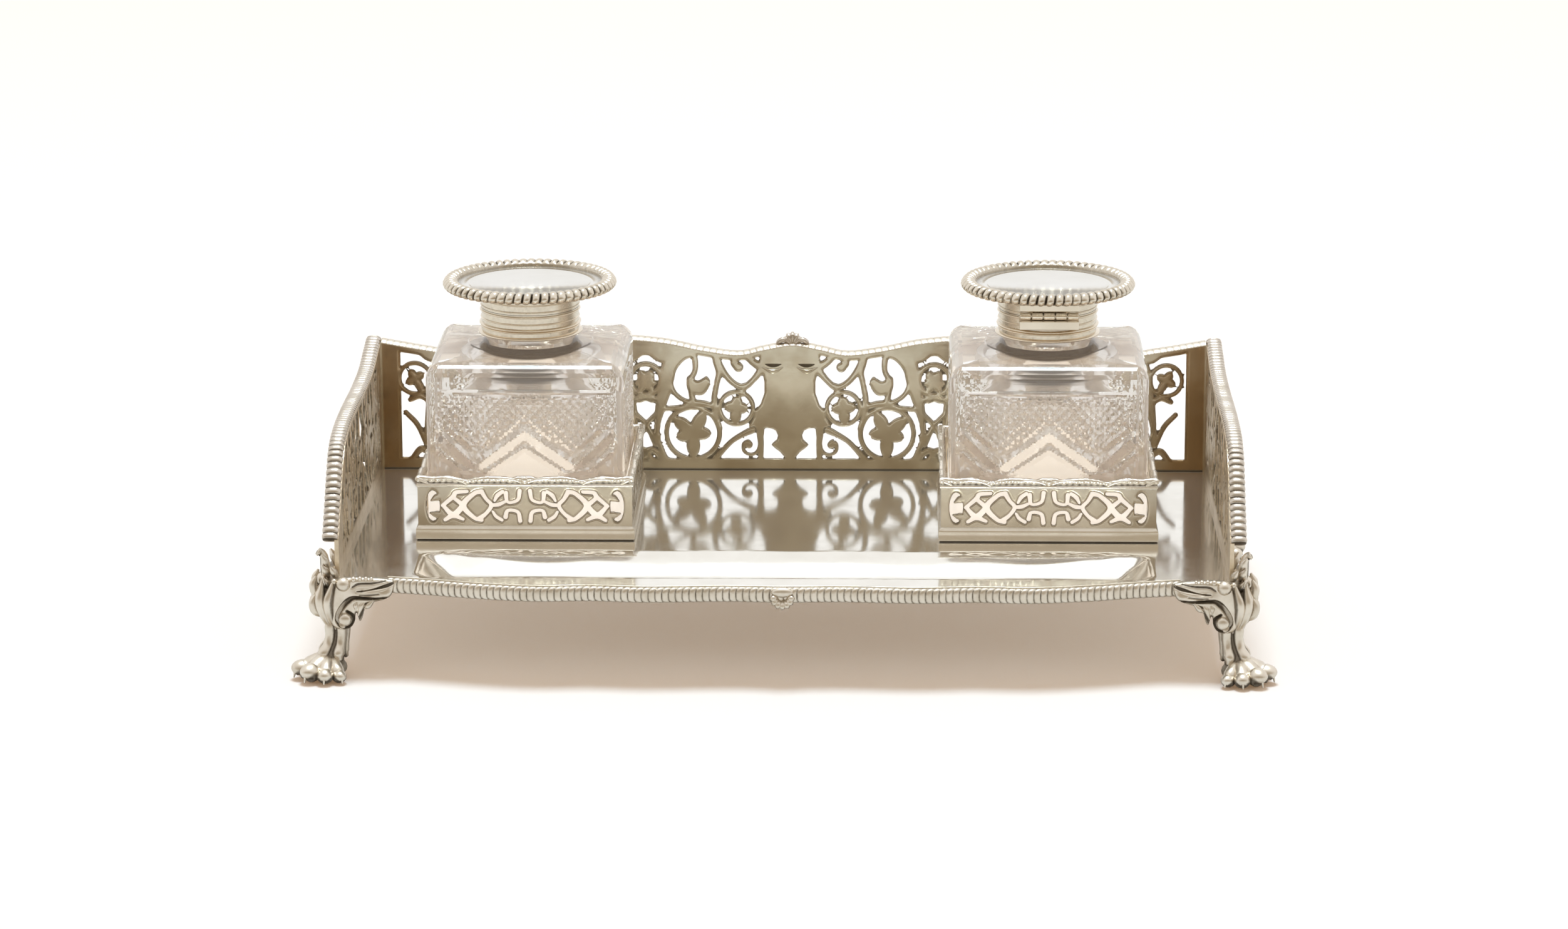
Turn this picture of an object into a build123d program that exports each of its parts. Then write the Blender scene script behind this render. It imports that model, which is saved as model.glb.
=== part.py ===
from build123d import *
from math import cos, radians, sin
import os

os.makedirs("parts", exist_ok=True)

# Desk inkstand: a four-footed silver tray with a pen trough and a pierced gallery
# on three sides, and two square cut-glass inkwells with hinged lids in pierced holders.
# X runs to the right, Y to the back, Z up, and the feet stand on Z = 0.

# Tray
tray_width = 272.0  # between the two side galleries
tray_depth = 129.5  # from the front corners to the back gallery
tray_top = 31.3
tray_thick = 1.6
trough_length = 226.0
trough_width = 27.4
trough_depth = 3.4
trough_wall = 1.3
trough_slope = 5.0  # how far the trough's side leans in towards its floor
half_width = tray_width / 2
back_y = tray_depth / 2
corner_y = -tray_depth / 2
trough_y = -51.5

# Serpentine front: distance from the middle, and reach past the front corners
front_curve = ((121, 1.3), (108, 4.0), (92, 8.0), (75, 10.6),
               (58.5, 9.7), (41, 11.0), (18, 9.7), (0, 10.3))
border_depth = 2.6  # the applied front border, front to back
border_drop = 4.5
border_lip = 0.5  # how far the border stands above the tray
border_round = 1.1
shell_front = 15.25  # reach of the small shell in the middle
shell_spread = 3.2  # from the shell's middle to its lobes
shell_lobe = 1.7
shell_edge = 0.4

# Galleries: distance along the tray, and height of the top edge above the tray
panel_thick = 1.3
rail_height = 3.0  # moulded border along the top of each gallery
rail_width = 5.2
band_height = 3.7  # plain band at the foot of each gallery
stile_width = 6.5  # plain margin at each end
rail_overlap = 0.9  # plain strip of the panel just under its rail
side_front_stile = 13.0
crest_spread = 2.0  # from the crest's middle to its lobes
crest_lobe = 1.3
panel_reach = 160.0  # taller than any panel, for cutting one to length
back_curve = ((0, 43.2), (9, 41.7), (18, 39.9), (30, 41.4), (43, 44.0), (58, 45.0),
              (76, 43.2), (92, 40.4), (107, 39.3), (121, 41.2), (136, 43.8))
side_curve = ((69.95, 44.4), (58, 42.2), (44, 39.6), (22, 38.8), (-8, 39.2),
              (-30, 38.2), (-42, 34.6), (-50, 27.0), (-57, 19.0), (-63, 12.2))

# Bottle holders
bottle_x = 82.0
bottle_y = 10.8
holder_size = 67.4
holder_wall = 1.1
holder_base = 4.8
holder_band = 12.3
holder_rim = 3.7
base_size = 68.8
rim_size = 68.4
base_depth = 2.4
rim_depth = 2.0
mitre_gap = 0.03  # half of the solder line at each mitred corner

# Bottles
glass_size = 62.0
glass_corner = 4.0
glass_shoulder = 3.5
glass_top = 87.1
ledge_radius = 20.0
ledge_height = 1.0
neck_radius = 14.3
neck_top = 98.5
bore_radius = 10.5
well_radius = 21.5
ledge_root = 6.0  # how far the turned top reaches down into the block
well_floor = 40.0
well_round = 6.0
well_shoulder = 74.0
well_top = 83.0

# Collars, lids and hinges
collar_bottom = 90.9
collar_top = 99.2
collar_radius = 15.5
flange_radius = 16.5
lid_gap = 0.15
cap_top = 105.0
cap_recess = 3.0
cap_inner = 12.6
ring_step = 0.45
collar_profile = ((flange_radius, 0), (flange_radius, 1.3), (collar_radius, 1.8), (collar_radius, 2.6),
                  (collar_radius + ring_step, 2.8), (collar_radius + ring_step, 3.8), (collar_radius, 4.0))
cap_profile = ((collar_radius, -1.0), (collar_radius + ring_step, -0.8), (collar_radius + ring_step, -0.2),
               (collar_radius, 0))
rim_radius = 27.6
rim_hollow = 22.8
rim_bottom = 104.9
rim_top = 109.0
rim_bevel = 0.8
rim_outer_rise = 2.0  # from the rim's foot to the widest point of its outer face
rim_crown_in = 2.3  # from the rim's outer face in to its highest point
rim_inner_drop = 1.1
dish_step = 3.0
dish_rise = 0.4
dish_thick = 1.2
gadroons = 60
gadroon_notch = 0.8
gadroon_out = 0.3
hinge_reach = 17.0  # from the bottle's axis to the pin
hinge_z = 100.0
knuckle_radius = 1.2
knuckle_count = 5
knuckle_gap = 0.15
hinge_length = 19.0
pin_radius = 0.5
pin_clearance = 0.05
knuckle_web = 0.9  # the web's half thickness, as a share of the knuckle's radius
leaf_gap = 1.5  # from the pin's axis to the edge of each leaf
leaf_root = 4.2  # how far the leaf starts inside the collar's round
leaf_tip = 0.7  # how far the leaf passes the pin
collar_leaf = 3.3
lid_leaf = 2.4

# Feet, measured out from the tray's corner
paw_out = 3.2
toe_reach = 9.6
toe_radius = 2.5
toe_angles = (-27, 2, 38, 76, 112)
shaft_out = 1.2
shaft_rod = 2.1
shaft_bottom = 5.0
shaft_top = 17.0
volute_in = 2.4
volute_radius = 4.8
volute_z = 18.8
volute_face = 7.6
leaf_thick = 4.6
flank_rise = 0.8  # the flank's leaf stands a little higher than the front's
groove_depth = 1.0
knob_radius = 3.2


def write(piece, label):
    piece.part.label = label
    export_step(piece.part, f"parts/{label}.step")


def mirrored(points):
    """The points of one half and of its mirror image, from one end to the other."""
    return sorted([(-x, y) for x, y in points if x] + list(points))


def shifted(points, dy):
    return [(x, y + dy) for x, y in points]


# ---- Ornament of the galleries, drawn on a flat sketch -------------------------

def stroke(points, width):
    """A scroll stem: a band of even width along a smooth line, with round ends."""
    with BuildLine() as path:
        Spline(*points)
    trace(path.line, line_width=width)
    with Locations(points[0], points[-1]):
        Circle(width / 2)


def ring(centre, radius, width):
    with Locations(centre):
        Circle(radius + width)
        Circle(radius, mode=Mode.SUBTRACT)


def flower(centre, reach, turn):
    """Four petals round a button."""
    with Locations(centre):
        with PolarLocations(reach * 0.52, 4, start_angle=turn):
            Ellipse(reach * 0.5, reach * 0.3)
        Circle(reach * 0.26)


def bud(centre, radius):
    with Locations(centre):
        Circle(radius)


def flower_ring(centre, radius, width, turn):
    ring(centre, radius, width)
    flower(centre, radius + 0.3, turn)


with BuildSketch() as scrollwork:  # one run of scrolling foliage, from a = 9 to a = 52
    flower_ring((32.0, 12.6), 8.0, 1.5, 40)
    flower_ring((18.2, 21.2), 5.5, 1.4, 30)
    flower_ring((47.6, 30.6), 4.6, 1.4, 45)
    stroke([(23.4, 2.0), (24.6, 13.0), (24.0, 24.0), (22.4, 33.0), (24.0, 42.0)], 1.5)
    stroke([(23.6, 5.6), (19.0, 10.6), (14.0, 10.6), (11.0, 7.6), (13.4, 5.2), (15.4, 7.2)], 1.2)
    bud((14.0, 7.6), 1.2)
    stroke([(9.4, 2.0), (9.2, 9.0), (9.8, 16.0)], 1.2)
    stroke([(11.5, 33.5), (15.6, 28.4), (21.6, 31.4)], 1.5)
    stroke([(18.8, 39.0), (17.4, 35.6), (15.2, 34.2)], 1.7)
    bud((15.4, 34.4), 1.5)
    stroke([(24.0, 20.6), (31.6, 23.4), (38.6, 28.6), (41.4, 36.0)], 1.5)
    stroke([(24.2, 19.0), (33.0, 22.0), (42.0, 21.2)], 1.1)
    stroke([(37.8, 27.6), (33.6, 24.8), (27.2, 28.0), (26.6, 33.4), (30.0, 36.6)], 1.2)
    stroke([(34.4, 41.0), (36.0, 35.6), (33.4, 30.6), (30.4, 31.4)], 1.6)
    bud((30.6, 31.0), 1.9)
    stroke([(41.2, 2.0), (42.2, 14.0), (41.6, 28.0), (43.6, 42.0)], 2.4)
    stroke([(42.2, 9.0), (44.6, 17.0), (50.0, 21.0)], 1.4)
    stroke([(52.4, 2.0), (50.2, 10.0), (45.6, 16.0), (47.4, 25.4)], 1.4)
    stroke([(47.6, 36.0), (47.0, 39.4), (48.4, 44.0)], 1.6)


def foliage_at(place, flip):
    """The scrollwork moved along the gallery, turned back to front if asked."""
    face = scrollwork.sketch
    if flip:
        face = face.mirror(Plane.YZ)
    return face.moved(Location((place, 0)))


def window(curve, low_x, high_x):
    """The part of a gallery that is pierced: under the rail and over the plain band."""
    top = shifted(curve, -rail_height - rail_overlap)
    with BuildLine() as outline:
        edge = Spline(*top)
        Polyline(edge @ 0, (top[0][0], band_height), (top[-1][0], band_height), edge @ 1)
    make_face(outline.edges())
    with Locations(((low_x + high_x) / 2, 0)):
        Rectangle(high_x - low_x, panel_reach, mode=Mode.INTERSECT)


back_line = mirrored(back_curve)

with BuildSketch() as shield:  # the bare cartouche in the middle, and its pendant
    with BuildLine():
        side = Spline((0, 45), (9.8, 38.0), (8.4, 27.0), (10.4, 20.0), (13.0, 16.4), (8.6, 14.6))
        Polyline(side @ 1, (4.6, 14.4), (3.0, 12.0), (3.6, 8.8), (0.6, 2.0), (0, 2.0), side @ 0)
    make_face()
    mirror(about=Plane.YZ)

with BuildSketch() as back_piercing:
    window(back_line, -half_width + stile_width, half_width - stile_width)
    add(shield.sketch, mode=Mode.SUBTRACT)
    for place, flip in ((0, False), (95.2, True), (76.0, False), (0, True), (-95.2, False), (-76.0, True)):
        add(foliage_at(place, flip), mode=Mode.SUBTRACT)

with BuildSketch() as side_piercing:
    window(side_curve[::-1], corner_y + side_front_stile, back_y - stile_width)
    for place, flip in ((0, False), (0, True)):
        add(foliage_at(place, flip), mode=Mode.SUBTRACT)
    add(foliage_at(95.2, True), mode=Mode.SUBTRACT)
    add(foliage_at(-95.2, False), mode=Mode.SUBTRACT)
    with BuildSketch(mode=Mode.SUBTRACT):
        flower_ring((0, 19.5), 7.0, 1.4, 45)
        stroke([(0, 2), (0, 8), (0, 11)], 1.6)
        stroke([(0, 28), (0, 33), (0, 42)], 1.6)

# ---- Tray ----------------------------------------------------------------------

front_line = [(x, corner_y - reach) for x, reach in mirrored(front_curve)]

with BuildPart() as tray_plate:
    with BuildSketch(Plane.XY.offset(tray_top - tray_thick)):
        with BuildLine():
            front = Spline(*front_line)
            Polyline(front @ 0, (-half_width, (front @ 0).Y), (-half_width, back_y), (half_width, back_y),
                     (half_width, (front @ 1).Y), front @ 1)
        make_face()
    extrude(amount=tray_thick)
    for wall, depth, mode in ((trough_wall, trough_depth + trough_wall, Mode.ADD),
                              (0, trough_depth, Mode.SUBTRACT)):
        length = trough_length + 2 * wall
        width = trough_width + 2 * wall
        for height, lean in ((tray_top, 0), (tray_top - depth, trough_slope)):
            with BuildSketch(Plane.XY.offset(height)):
                with Locations((0, trough_y)):
                    RectangleRounded(length - 2 * lean, width - 2 * lean, (width - 2 * lean) * 0.45)
        loft(mode=mode)
write(tray_plate, "tray_plate")

with BuildPart() as front_border:
    with BuildSketch(Plane.XY.offset(tray_top - border_drop)):
        with BuildLine():
            inner = Spline(*front_line)
            outer = Spline(*shifted(front_line, -border_depth))
            Line(outer @ 0, inner @ 0)
            Line(outer @ 1, inner @ 1)
        make_face()
    extrude(amount=border_drop + border_lip)
    outer_edges = front_border.faces().sort_by(Axis.Y)[0].edges().filter_by(GeomType.BSPLINE)
    fillet(outer_edges, border_round)
write(front_border, "front_border")

shell_y = corner_y - front_curve[-1][1] - border_depth
with BuildPart() as front_shell:
    with BuildSketch(Plane.XZ.offset(-shell_y)):
        with Locations((0, tray_top - 1.6)):
            with PolarLocations(shell_spread, 5, start_angle=198, angular_range=144, endpoint=True):
                Circle(shell_lobe)
            Ellipse(3.6, 2.4)
    extrude(amount=shell_y - corner_y + shell_front)
    chamfer(front_shell.faces().sort_by(Axis.Y)[0].edges(), shell_edge)
write(front_shell, "front_shell")

# ---- Galleries -----------------------------------------------------------------

back_plane = Plane(origin=(0, back_y, tray_top), x_dir=(1, 0, 0), z_dir=(0, -1, 0))


def side_plane(x):
    """A sketch plane on a side gallery: its x runs to the back of the tray, its y up."""
    return Plane(origin=(x, 0, tray_top), x_dir=(0, 1, 0), z_dir=(1, 0, 0))


def gallery_panel(curve, low_x, high_x):
    """A panel's outline: straight foot and ends, and a wavy top under its rail."""
    top = shifted(curve, -rail_height)
    with BuildLine() as outline:
        edge = Spline(*top)
        Polyline(edge @ 0, (top[0][0], -tray_thick), (top[-1][0], -tray_thick), edge @ 1)
    make_face(outline.edges())
    with Locations(((low_x + high_x) / 2, 0)):
        Rectangle(high_x - low_x, panel_reach, mode=Mode.INTERSECT)


def rail(curve):
    """The strip between a gallery's top line and the same line one rail lower."""
    with BuildLine() as outline:
        high = Spline(*curve)
        low = Spline(*shifted(curve, -rail_height))
        Line(high @ 0, low @ 0)
        Line(high @ 1, low @ 1)
    make_face(outline.edges())


with BuildPart() as back_gallery:
    with BuildSketch(back_plane):
        gallery_panel(back_line, -half_width, half_width)
        add(back_piercing.sketch, mode=Mode.SUBTRACT)
    extrude(amount=-panel_thick)
write(back_gallery, "back_gallery")

with BuildPart() as back_rail:
    with BuildSketch(back_plane):
        rail(back_line)
    extrude(amount=-rail_width)
write(back_rail, "back_rail")

side_line = side_curve[::-1]
for name, side in (("left", -1), ("right", 1)):
    wall_plane = side_plane(side * half_width)
    with BuildPart() as side_gallery:
        with BuildSketch(wall_plane):
            gallery_panel(side_line, side_line[0][0], back_y + panel_thick)
            add(side_piercing.sketch, mode=Mode.SUBTRACT)
        extrude(amount=side * panel_thick)
    write(side_gallery, f"{name}_gallery")

    with BuildPart() as side_rail:
        with BuildSketch(wall_plane):
            rail(side_line)
        extrude(amount=side * rail_width)
    write(side_rail, f"{name}_rail")

crest_z = tray_top + back_curve[0][1]
with BuildPart() as back_crest:
    with BuildSketch(Plane.XZ.offset(-back_y)):
        with Locations((0, crest_z)):
            with PolarLocations(crest_spread, 5, start_angle=10, angular_range=160, endpoint=True):
                Circle(crest_lobe)
            Ellipse(5.5, 1.6)
        with Locations((0, crest_z - 3)):
            Rectangle(20, 6, mode=Mode.SUBTRACT)
    extrude(amount=-rail_width)
write(back_crest, "back_crest")

# ---- Bottle holders: a base moulding, four pierced walls and a rim --------------


def holder_strip(size, depth, low, high):
    """One side of a mitred square frame, on the side of -Y."""
    far = size / 2
    near = far - depth
    with BuildSketch(Plane.XY.offset(low)) as strip:
        with BuildLine() as outline:
            Polyline((mitre_gap - far, -far), (far - mitre_gap, -far), (near - mitre_gap, -near),
                     (mitre_gap - near, -near), close=True)
        make_face(outline.edges())
    extrude(strip.sketch, amount=high - low)


with BuildSketch() as fretwork:  # the holes of half a holder wall, measured from its middle
    for slant in (1, -1):
        for chain in (((1.7, 4.6), (2.5, 1.7), (5.4, 1.3), (5.6, 4.4)),
                      ((14.3, 4.3), (10.7, 0), (14.3, -4.3)),
                      ((15.9, 4.3), (19.5, 0), (15.9, -4.3)),
                      ((22.4, 3.4), (19.5, 0), (22.4, -3.4)),
                      ((24.0, 3.4), (27.0, 0), (24.0, -3.4))):
            with BuildLine() as slot_path:
                Polyline(*[(x, y * slant) for x, y in chain])
            trace(slot_path.line, line_width=1.15)
        with Locations((8.3, 3.2 * slant)):
            Ellipse(0.9, 1.7, rotation=-35 * slant)
        with Locations((18.9, 4.4 * slant)):
            Ellipse(1.5, 0.7)
    with Locations((29.0, 0)):
        Ellipse(1.3, 4.6)
    with Locations((28.3, 2.0), (28.3, -2.0)):
        Ellipse(1.0, 0.6, rotation=25, mode=Mode.SUBTRACT)
    mirror(about=Plane.YZ)

wall_low = tray_top + holder_base
wall_high = wall_low + holder_band
rim_high = wall_high + holder_rim
for name, x in (("left", -bottle_x), ("right", bottle_x)):
    holder_place = Location((x, bottle_y, 0))
    for label, size, depth, low, high in (("base", base_size, base_depth, tray_top, wall_low),
                                          ("rim", rim_size, rim_depth, wall_high, rim_high)):
        with BuildPart() as strip:
            holder_strip(size, depth, low, high)
        with BuildPart() as frame:
            for turn in range(4):
                add(holder_place * Rot(0, 0, 90 * turn) * strip.part)
        write(frame, f"{name}_holder_{label}")
    with BuildPart() as plain_wall:
        holder_strip(holder_size, holder_wall, wall_low, wall_high)
        with BuildSketch(Plane.XZ.offset(holder_size / 2)):
            with Locations((0, wall_low + holder_band / 2)):
                add(fretwork.sketch)
        extrude(amount=-holder_wall, mode=Mode.SUBTRACT)
    for turn, side in enumerate(("front", "right", "back", "left")):
        with BuildPart() as wall:
            add(holder_place * Rot(0, 0, 90 * turn) * plain_wall.part)
        write(wall, f"{name}_holder_{side}_wall")

# ---- Bottles, collars, hinges and lids -------------------------------------------

knuckle_length = (hinge_length - (knuckle_count - 1) * knuckle_gap) / knuckle_count
knuckle_step = knuckle_length + knuckle_gap


def turned(place, outline):
    """A solid of revolution about the bottle's axis, from radius and height pairs."""
    with BuildSketch(Plane(origin=place, x_dir=(1, 0, 0), z_dir=(0, -1, 0))) as profile:
        with BuildLine() as line:
            Polyline(*outline, close=True)
        make_face(line.edges())
    revolve(profile.sketch, axis=Axis(place, (0, 0, 1)))


def knuckles(place, side, numbers, bore, web_low, web_high):
    """Hinge barrels and the webs that join them to their leaf."""
    axis_y = place[1] + side * hinge_reach
    for number in numbers:
        centre = place[0] + (number - (knuckle_count - 1) / 2) * knuckle_step
        with Locations((centre, axis_y, (web_low + web_high) / 2)):
            Box(knuckle_length, 2 * knuckle_radius * knuckle_web, web_high - web_low)
        with Locations(Location((centre, axis_y, hinge_z), (0, 90, 0))):
            Cylinder(knuckle_radius, knuckle_length)
    with Locations(Location((place[0], axis_y, hinge_z), (0, 90, 0))):
        Cylinder(bore, hinge_length + 1, mode=Mode.SUBTRACT)


def leaf(place, side, low, high):
    """The flat block that carries the knuckles, hollowed to the round it is soldered to."""
    root = collar_radius - leaf_root
    tip = hinge_reach + leaf_tip
    with Locations((place[0], place[1] + side * (root + tip) / 2, (low + high) / 2)):
        Box(hinge_length, tip - root, high - low)
    with Locations((place[0], place[1], (low + high) / 2)):
        Cylinder(collar_radius, high - low + 1, mode=Mode.SUBTRACT)


for name, x, side in (("left", -bottle_x, 1), ("right", bottle_x, -1)):
    place = (x, bottle_y, 0)
    ground = Plane(origin=place)

    with BuildPart() as bottle:
        with BuildSketch(ground.offset(tray_top)):
            RectangleRounded(glass_size, glass_size, glass_corner)
        extrude(amount=glass_top - tray_top)
        fillet(bottle.faces().sort_by(Axis.Z)[-1].edges(), glass_shoulder)
        turned(place, ((0, glass_top - ledge_root), (ledge_radius, glass_top - ledge_root),
                       (ledge_radius, glass_top + ledge_height), (neck_radius, glass_top + ledge_height),
                       (neck_radius, neck_top), (0, neck_top)))
        with BuildSketch(ground.offset(well_floor)):
            Circle(well_radius)
        extrude(amount=well_shoulder - well_floor, mode=Mode.SUBTRACT)
        with BuildSketch(ground.offset(well_shoulder)):
            Circle(well_radius)
        with BuildSketch(ground.offset(well_top)):
            Circle(bore_radius)
        loft(mode=Mode.SUBTRACT)
        with BuildSketch(ground.offset(well_top)):
            Circle(bore_radius)
        extrude(amount=neck_top - well_top, mode=Mode.SUBTRACT)
        floor_edges = bottle.edges().filter_by(GeomType.CIRCLE).group_by(Axis.Z)[0]
        fillet(floor_edges.sort_by(Edge.length)[-1], well_round)
    write(bottle, f"{name}_bottle")

    with BuildPart() as collar:
        turned(place, ((neck_radius, collar_bottom), *shifted(collar_profile, collar_bottom),
                       (collar_radius, collar_top), (bore_radius, collar_top),
                       (bore_radius, neck_top), (neck_radius, neck_top)))
    write(collar, f"{name}_collar")

    with BuildPart() as collar_hinge:
        leaf(place, side, hinge_z - leaf_gap - collar_leaf, hinge_z - leaf_gap)
        knuckles(place, side, (0, 2, 4), pin_radius, hinge_z - leaf_gap, hinge_z)
    write(collar_hinge, f"{name}_collar_hinge")

    with BuildPart() as lid_hinge:
        leaf(place, side, hinge_z + leaf_gap, hinge_z + leaf_gap + lid_leaf)
        knuckles(place, side, (1, 3), pin_radius + pin_clearance, hinge_z, hinge_z + leaf_gap)
    write(lid_hinge, f"{name}_lid_hinge")

    with BuildPart() as hinge_pin:
        with Locations(Location((x, bottle_y + side * hinge_reach, hinge_z), (0, 90, 0))):
            Cylinder(pin_radius, hinge_length)
    write(hinge_pin, f"{name}_hinge_pin")

    parting = collar_top + lid_gap
    with BuildPart() as lid_cap:
        turned(place, ((0, parting + cap_recess), (cap_inner, parting + cap_recess), (cap_inner, parting),
                       (collar_radius, parting), *shifted(cap_profile, cap_top), (0, cap_top)))
    write(lid_cap, f"{name}_lid_cap")

    with BuildPart() as lid_dish:
        turned(place, ((0, cap_top), (rim_hollow - dish_step, cap_top), (rim_hollow, cap_top + dish_rise),
                       (rim_hollow, cap_top + dish_rise + dish_thick),
                       (0, cap_top + dish_rise / 2 + dish_thick)))
    write(lid_dish, f"{name}_lid_dish")

    with BuildPart() as lid_rim:
        with BuildSketch(Plane(origin=place, x_dir=(1, 0, 0), z_dir=(0, -1, 0))):
            with BuildLine():
                inside = Line((rim_hollow, rim_bottom), (rim_hollow, rim_top - rim_inner_drop))
                crown = ThreePointArc(inside @ 1, (rim_radius - rim_crown_in, rim_top),
                                      (rim_radius, rim_bottom + rim_outer_rise))
                Polyline(crown @ 1, (rim_radius - rim_bevel, rim_bottom), inside @ 0)
            make_face()
        revolve(axis=Axis(place, (0, 0, 1)))
        with BuildSketch(ground.offset(rim_bottom)):
            with PolarLocations(rim_radius + gadroon_out, gadroons):
                Circle(gadroon_notch)
        extrude(amount=rim_top - rim_bottom, mode=Mode.SUBTRACT)
    write(lid_rim, f"{name}_lid_rim")

# ---- Feet: one casting, mirrored to the four corners ------------------------------


def out_from_corner(u, v, z):
    """A point u to the right of the front right corner, v in front of it, at height z."""
    return (half_width + u, corner_y - v, z)


def bracket(plane, points, thickness):
    """A leaf bracket: a smooth closed outline given its thickness."""
    with BuildSketch(plane) as outline:
        with BuildLine() as line:
            Spline(*points, periodic=True)
        make_face(line.edges())
    extrude(outline.sketch, amount=thickness)


leaf_outline = ((-14.6, 31.4), (-14.2, 29.0), (-10.4, 26.6), (-8.6, 23.2), (-7.4, 19.0),
                (-5.4, 15.2), (-1.6, 14.0), (2.6, 15.6), (5.6, 20.0), (6.4, 26.0),
                (6.2, 32.0), (3.6, 37.0), (0.6, 35.6), (-3.6, 33.0), (-9.0, 32.4))
front_plane = Plane(origin=out_from_corner(0, panel_thick, 0), x_dir=(1, 0, 0), z_dir=(0, -1, 0))
flank_plane = Plane(origin=out_from_corner(panel_thick, 0, 0), x_dir=(0, -1, 0), z_dir=(-1, 0, 0))

with BuildPart() as cast_foot:
    paw = Vector(out_from_corner(paw_out, paw_out, toe_radius))
    for angle in toe_angles:
        ray = Vector(sin(radians(angle)), -cos(radians(angle)), -0.04)
        with BuildSketch(Plane(origin=paw, z_dir=ray)):
            Circle(toe_radius * 0.9)
        extrude(amount=toe_reach)
        with Locations(paw + ray * toe_reach):
            Sphere(toe_radius)
    with Locations(out_from_corner(paw_out - 0.6, paw_out - 0.6, 3.4)):
        Sphere(5.0)
    split(bisect_by=Plane.XY, keep=Keep.TOP)
    with BuildSketch(Plane(origin=out_from_corner(shaft_out, shaft_out, shaft_bottom))):
        with GridLocations(2 * shaft_rod * 0.86, 2 * shaft_rod * 0.86, 2, 2):
            Circle(shaft_rod)
        Circle(shaft_rod)
    extrude(amount=shaft_top - shaft_bottom)
    with BuildSketch(Plane(origin=out_from_corner(0.6, 0.6, shaft_top - 1))):
        Circle(4.4)
    with BuildSketch(Plane(origin=out_from_corner(-1.5, -1.5, tray_top - tray_thick))):
        RectangleRounded(14, 14, 5)
    loft()
    for plane, outward, rise in ((front_plane, 1, 0), (flank_plane, -1, flank_rise)):
        bracket(plane, shifted(leaf_outline, rise), outward * (leaf_thick - rise / 2))
        with BuildSketch(plane):
            with Locations((-volute_in, volute_z)):
                Circle(volute_radius)
        extrude(amount=outward * (volute_face - panel_thick))
        with BuildSketch(plane.offset(outward * (volute_face - panel_thick))):
            with Locations((-volute_in, volute_z)):
                Circle(3.5)
                Circle(2.2, mode=Mode.SUBTRACT)
        extrude(amount=-outward * groove_depth, mode=Mode.SUBTRACT)
    with Locations(out_from_corner(panel_thick + knob_radius, panel_thick + knob_radius, 33.4)):
        Sphere(knob_radius)

for end in ("front", "rear"):
    for name in ("right", "left"):
        with BuildPart() as foot:
            add(cast_foot.part)
            if end == "rear":
                mirror(about=Plane.XZ, mode=Mode.REPLACE)
            if name == "left":
                mirror(about=Plane.YZ, mode=Mode.REPLACE)
        write(foot, f"{end}_{name}_foot")
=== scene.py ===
import math
import bpy
import numpy as np
from mathutils import Matrix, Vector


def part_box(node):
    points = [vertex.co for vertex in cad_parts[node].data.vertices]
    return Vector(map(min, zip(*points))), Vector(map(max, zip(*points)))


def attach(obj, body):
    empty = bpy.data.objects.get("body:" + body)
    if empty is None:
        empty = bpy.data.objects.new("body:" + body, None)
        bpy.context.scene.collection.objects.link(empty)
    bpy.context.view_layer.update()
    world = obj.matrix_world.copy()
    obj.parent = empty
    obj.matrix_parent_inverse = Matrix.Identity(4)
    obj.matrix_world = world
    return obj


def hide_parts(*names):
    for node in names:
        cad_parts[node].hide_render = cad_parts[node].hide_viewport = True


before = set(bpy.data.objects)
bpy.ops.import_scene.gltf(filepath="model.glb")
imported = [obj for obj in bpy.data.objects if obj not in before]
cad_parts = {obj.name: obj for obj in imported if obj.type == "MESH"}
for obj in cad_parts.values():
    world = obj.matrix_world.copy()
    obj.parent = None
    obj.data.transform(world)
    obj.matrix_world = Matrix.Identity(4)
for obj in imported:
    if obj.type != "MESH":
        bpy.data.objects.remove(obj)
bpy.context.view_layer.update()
print("frame loaded:", len(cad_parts), "nodes")

# All shapes are worked out in millimetres, in the frame's own axes, and go into the meshes in metres.
mm = 0.001


def nodeBox(node):
    low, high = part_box(node)
    return np.array(low) / mm, np.array(high) / mm


trayHigh = nodeBox("tray_plate")[1]
halfWidth, trayTop = trayHigh[0], trayHigh[2]
backY = nodeBox("back_gallery")[0][1]
cornerY = -backY
bottleLow, bottleHigh = nodeBox("right_bottle")
bottleX, bottleY = (bottleLow[:2] + bottleHigh[:2]) / 2
front = (0, -1, 0)
upwards = (0, 0, 1)
# the cosine and sine of each quarter turn
quarterTurns = ((1, 0), (0, 1), (-1, 0), (0, -1))


# The angles of so many places round a circle.
def roundAngles(sides):
    return np.linspace(0, 2 * math.pi, sides, endpoint=False)[None, :]


# Distance from places to the straight line between two points, and the share of it passed by then.
def lineDistance(x, y, start, end):
    dx, dy = end[0] - start[0], end[1] - start[1]
    share = np.clip(((x - start[0]) * dx + (y - start[1]) * dy) / (dx * dx + dy * dy + 1e-12), 0, 1)
    return np.hypot(x - start[0] - share * dx, y - start[1] - share * dy), share


# The quads of a grid of points; closed joins its last column to its first.
def gridQuads(rows, cols, closed):
    i = np.arange(rows - 1)[:, None]
    j = np.arange(cols if closed else cols - 1)[None, :]
    k = (j + 1) % cols
    corners = np.broadcast_arrays(i * cols + j, i * cols + k, (i + 1) * cols + k, (i + 1) * cols + j)
    return np.stack(corners, -1).reshape(-1, 4)


# Six times the volume inside a closed set of quads: positive when the faces look outwards.
def volumeOf(points, quads):
    a, b, c, d = (points[quads[:, n]] for n in range(4))
    return np.einsum("ij,ij->", a, np.cross(b, c)) + np.einsum("ij,ij->", a, np.cross(c, d))


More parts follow.
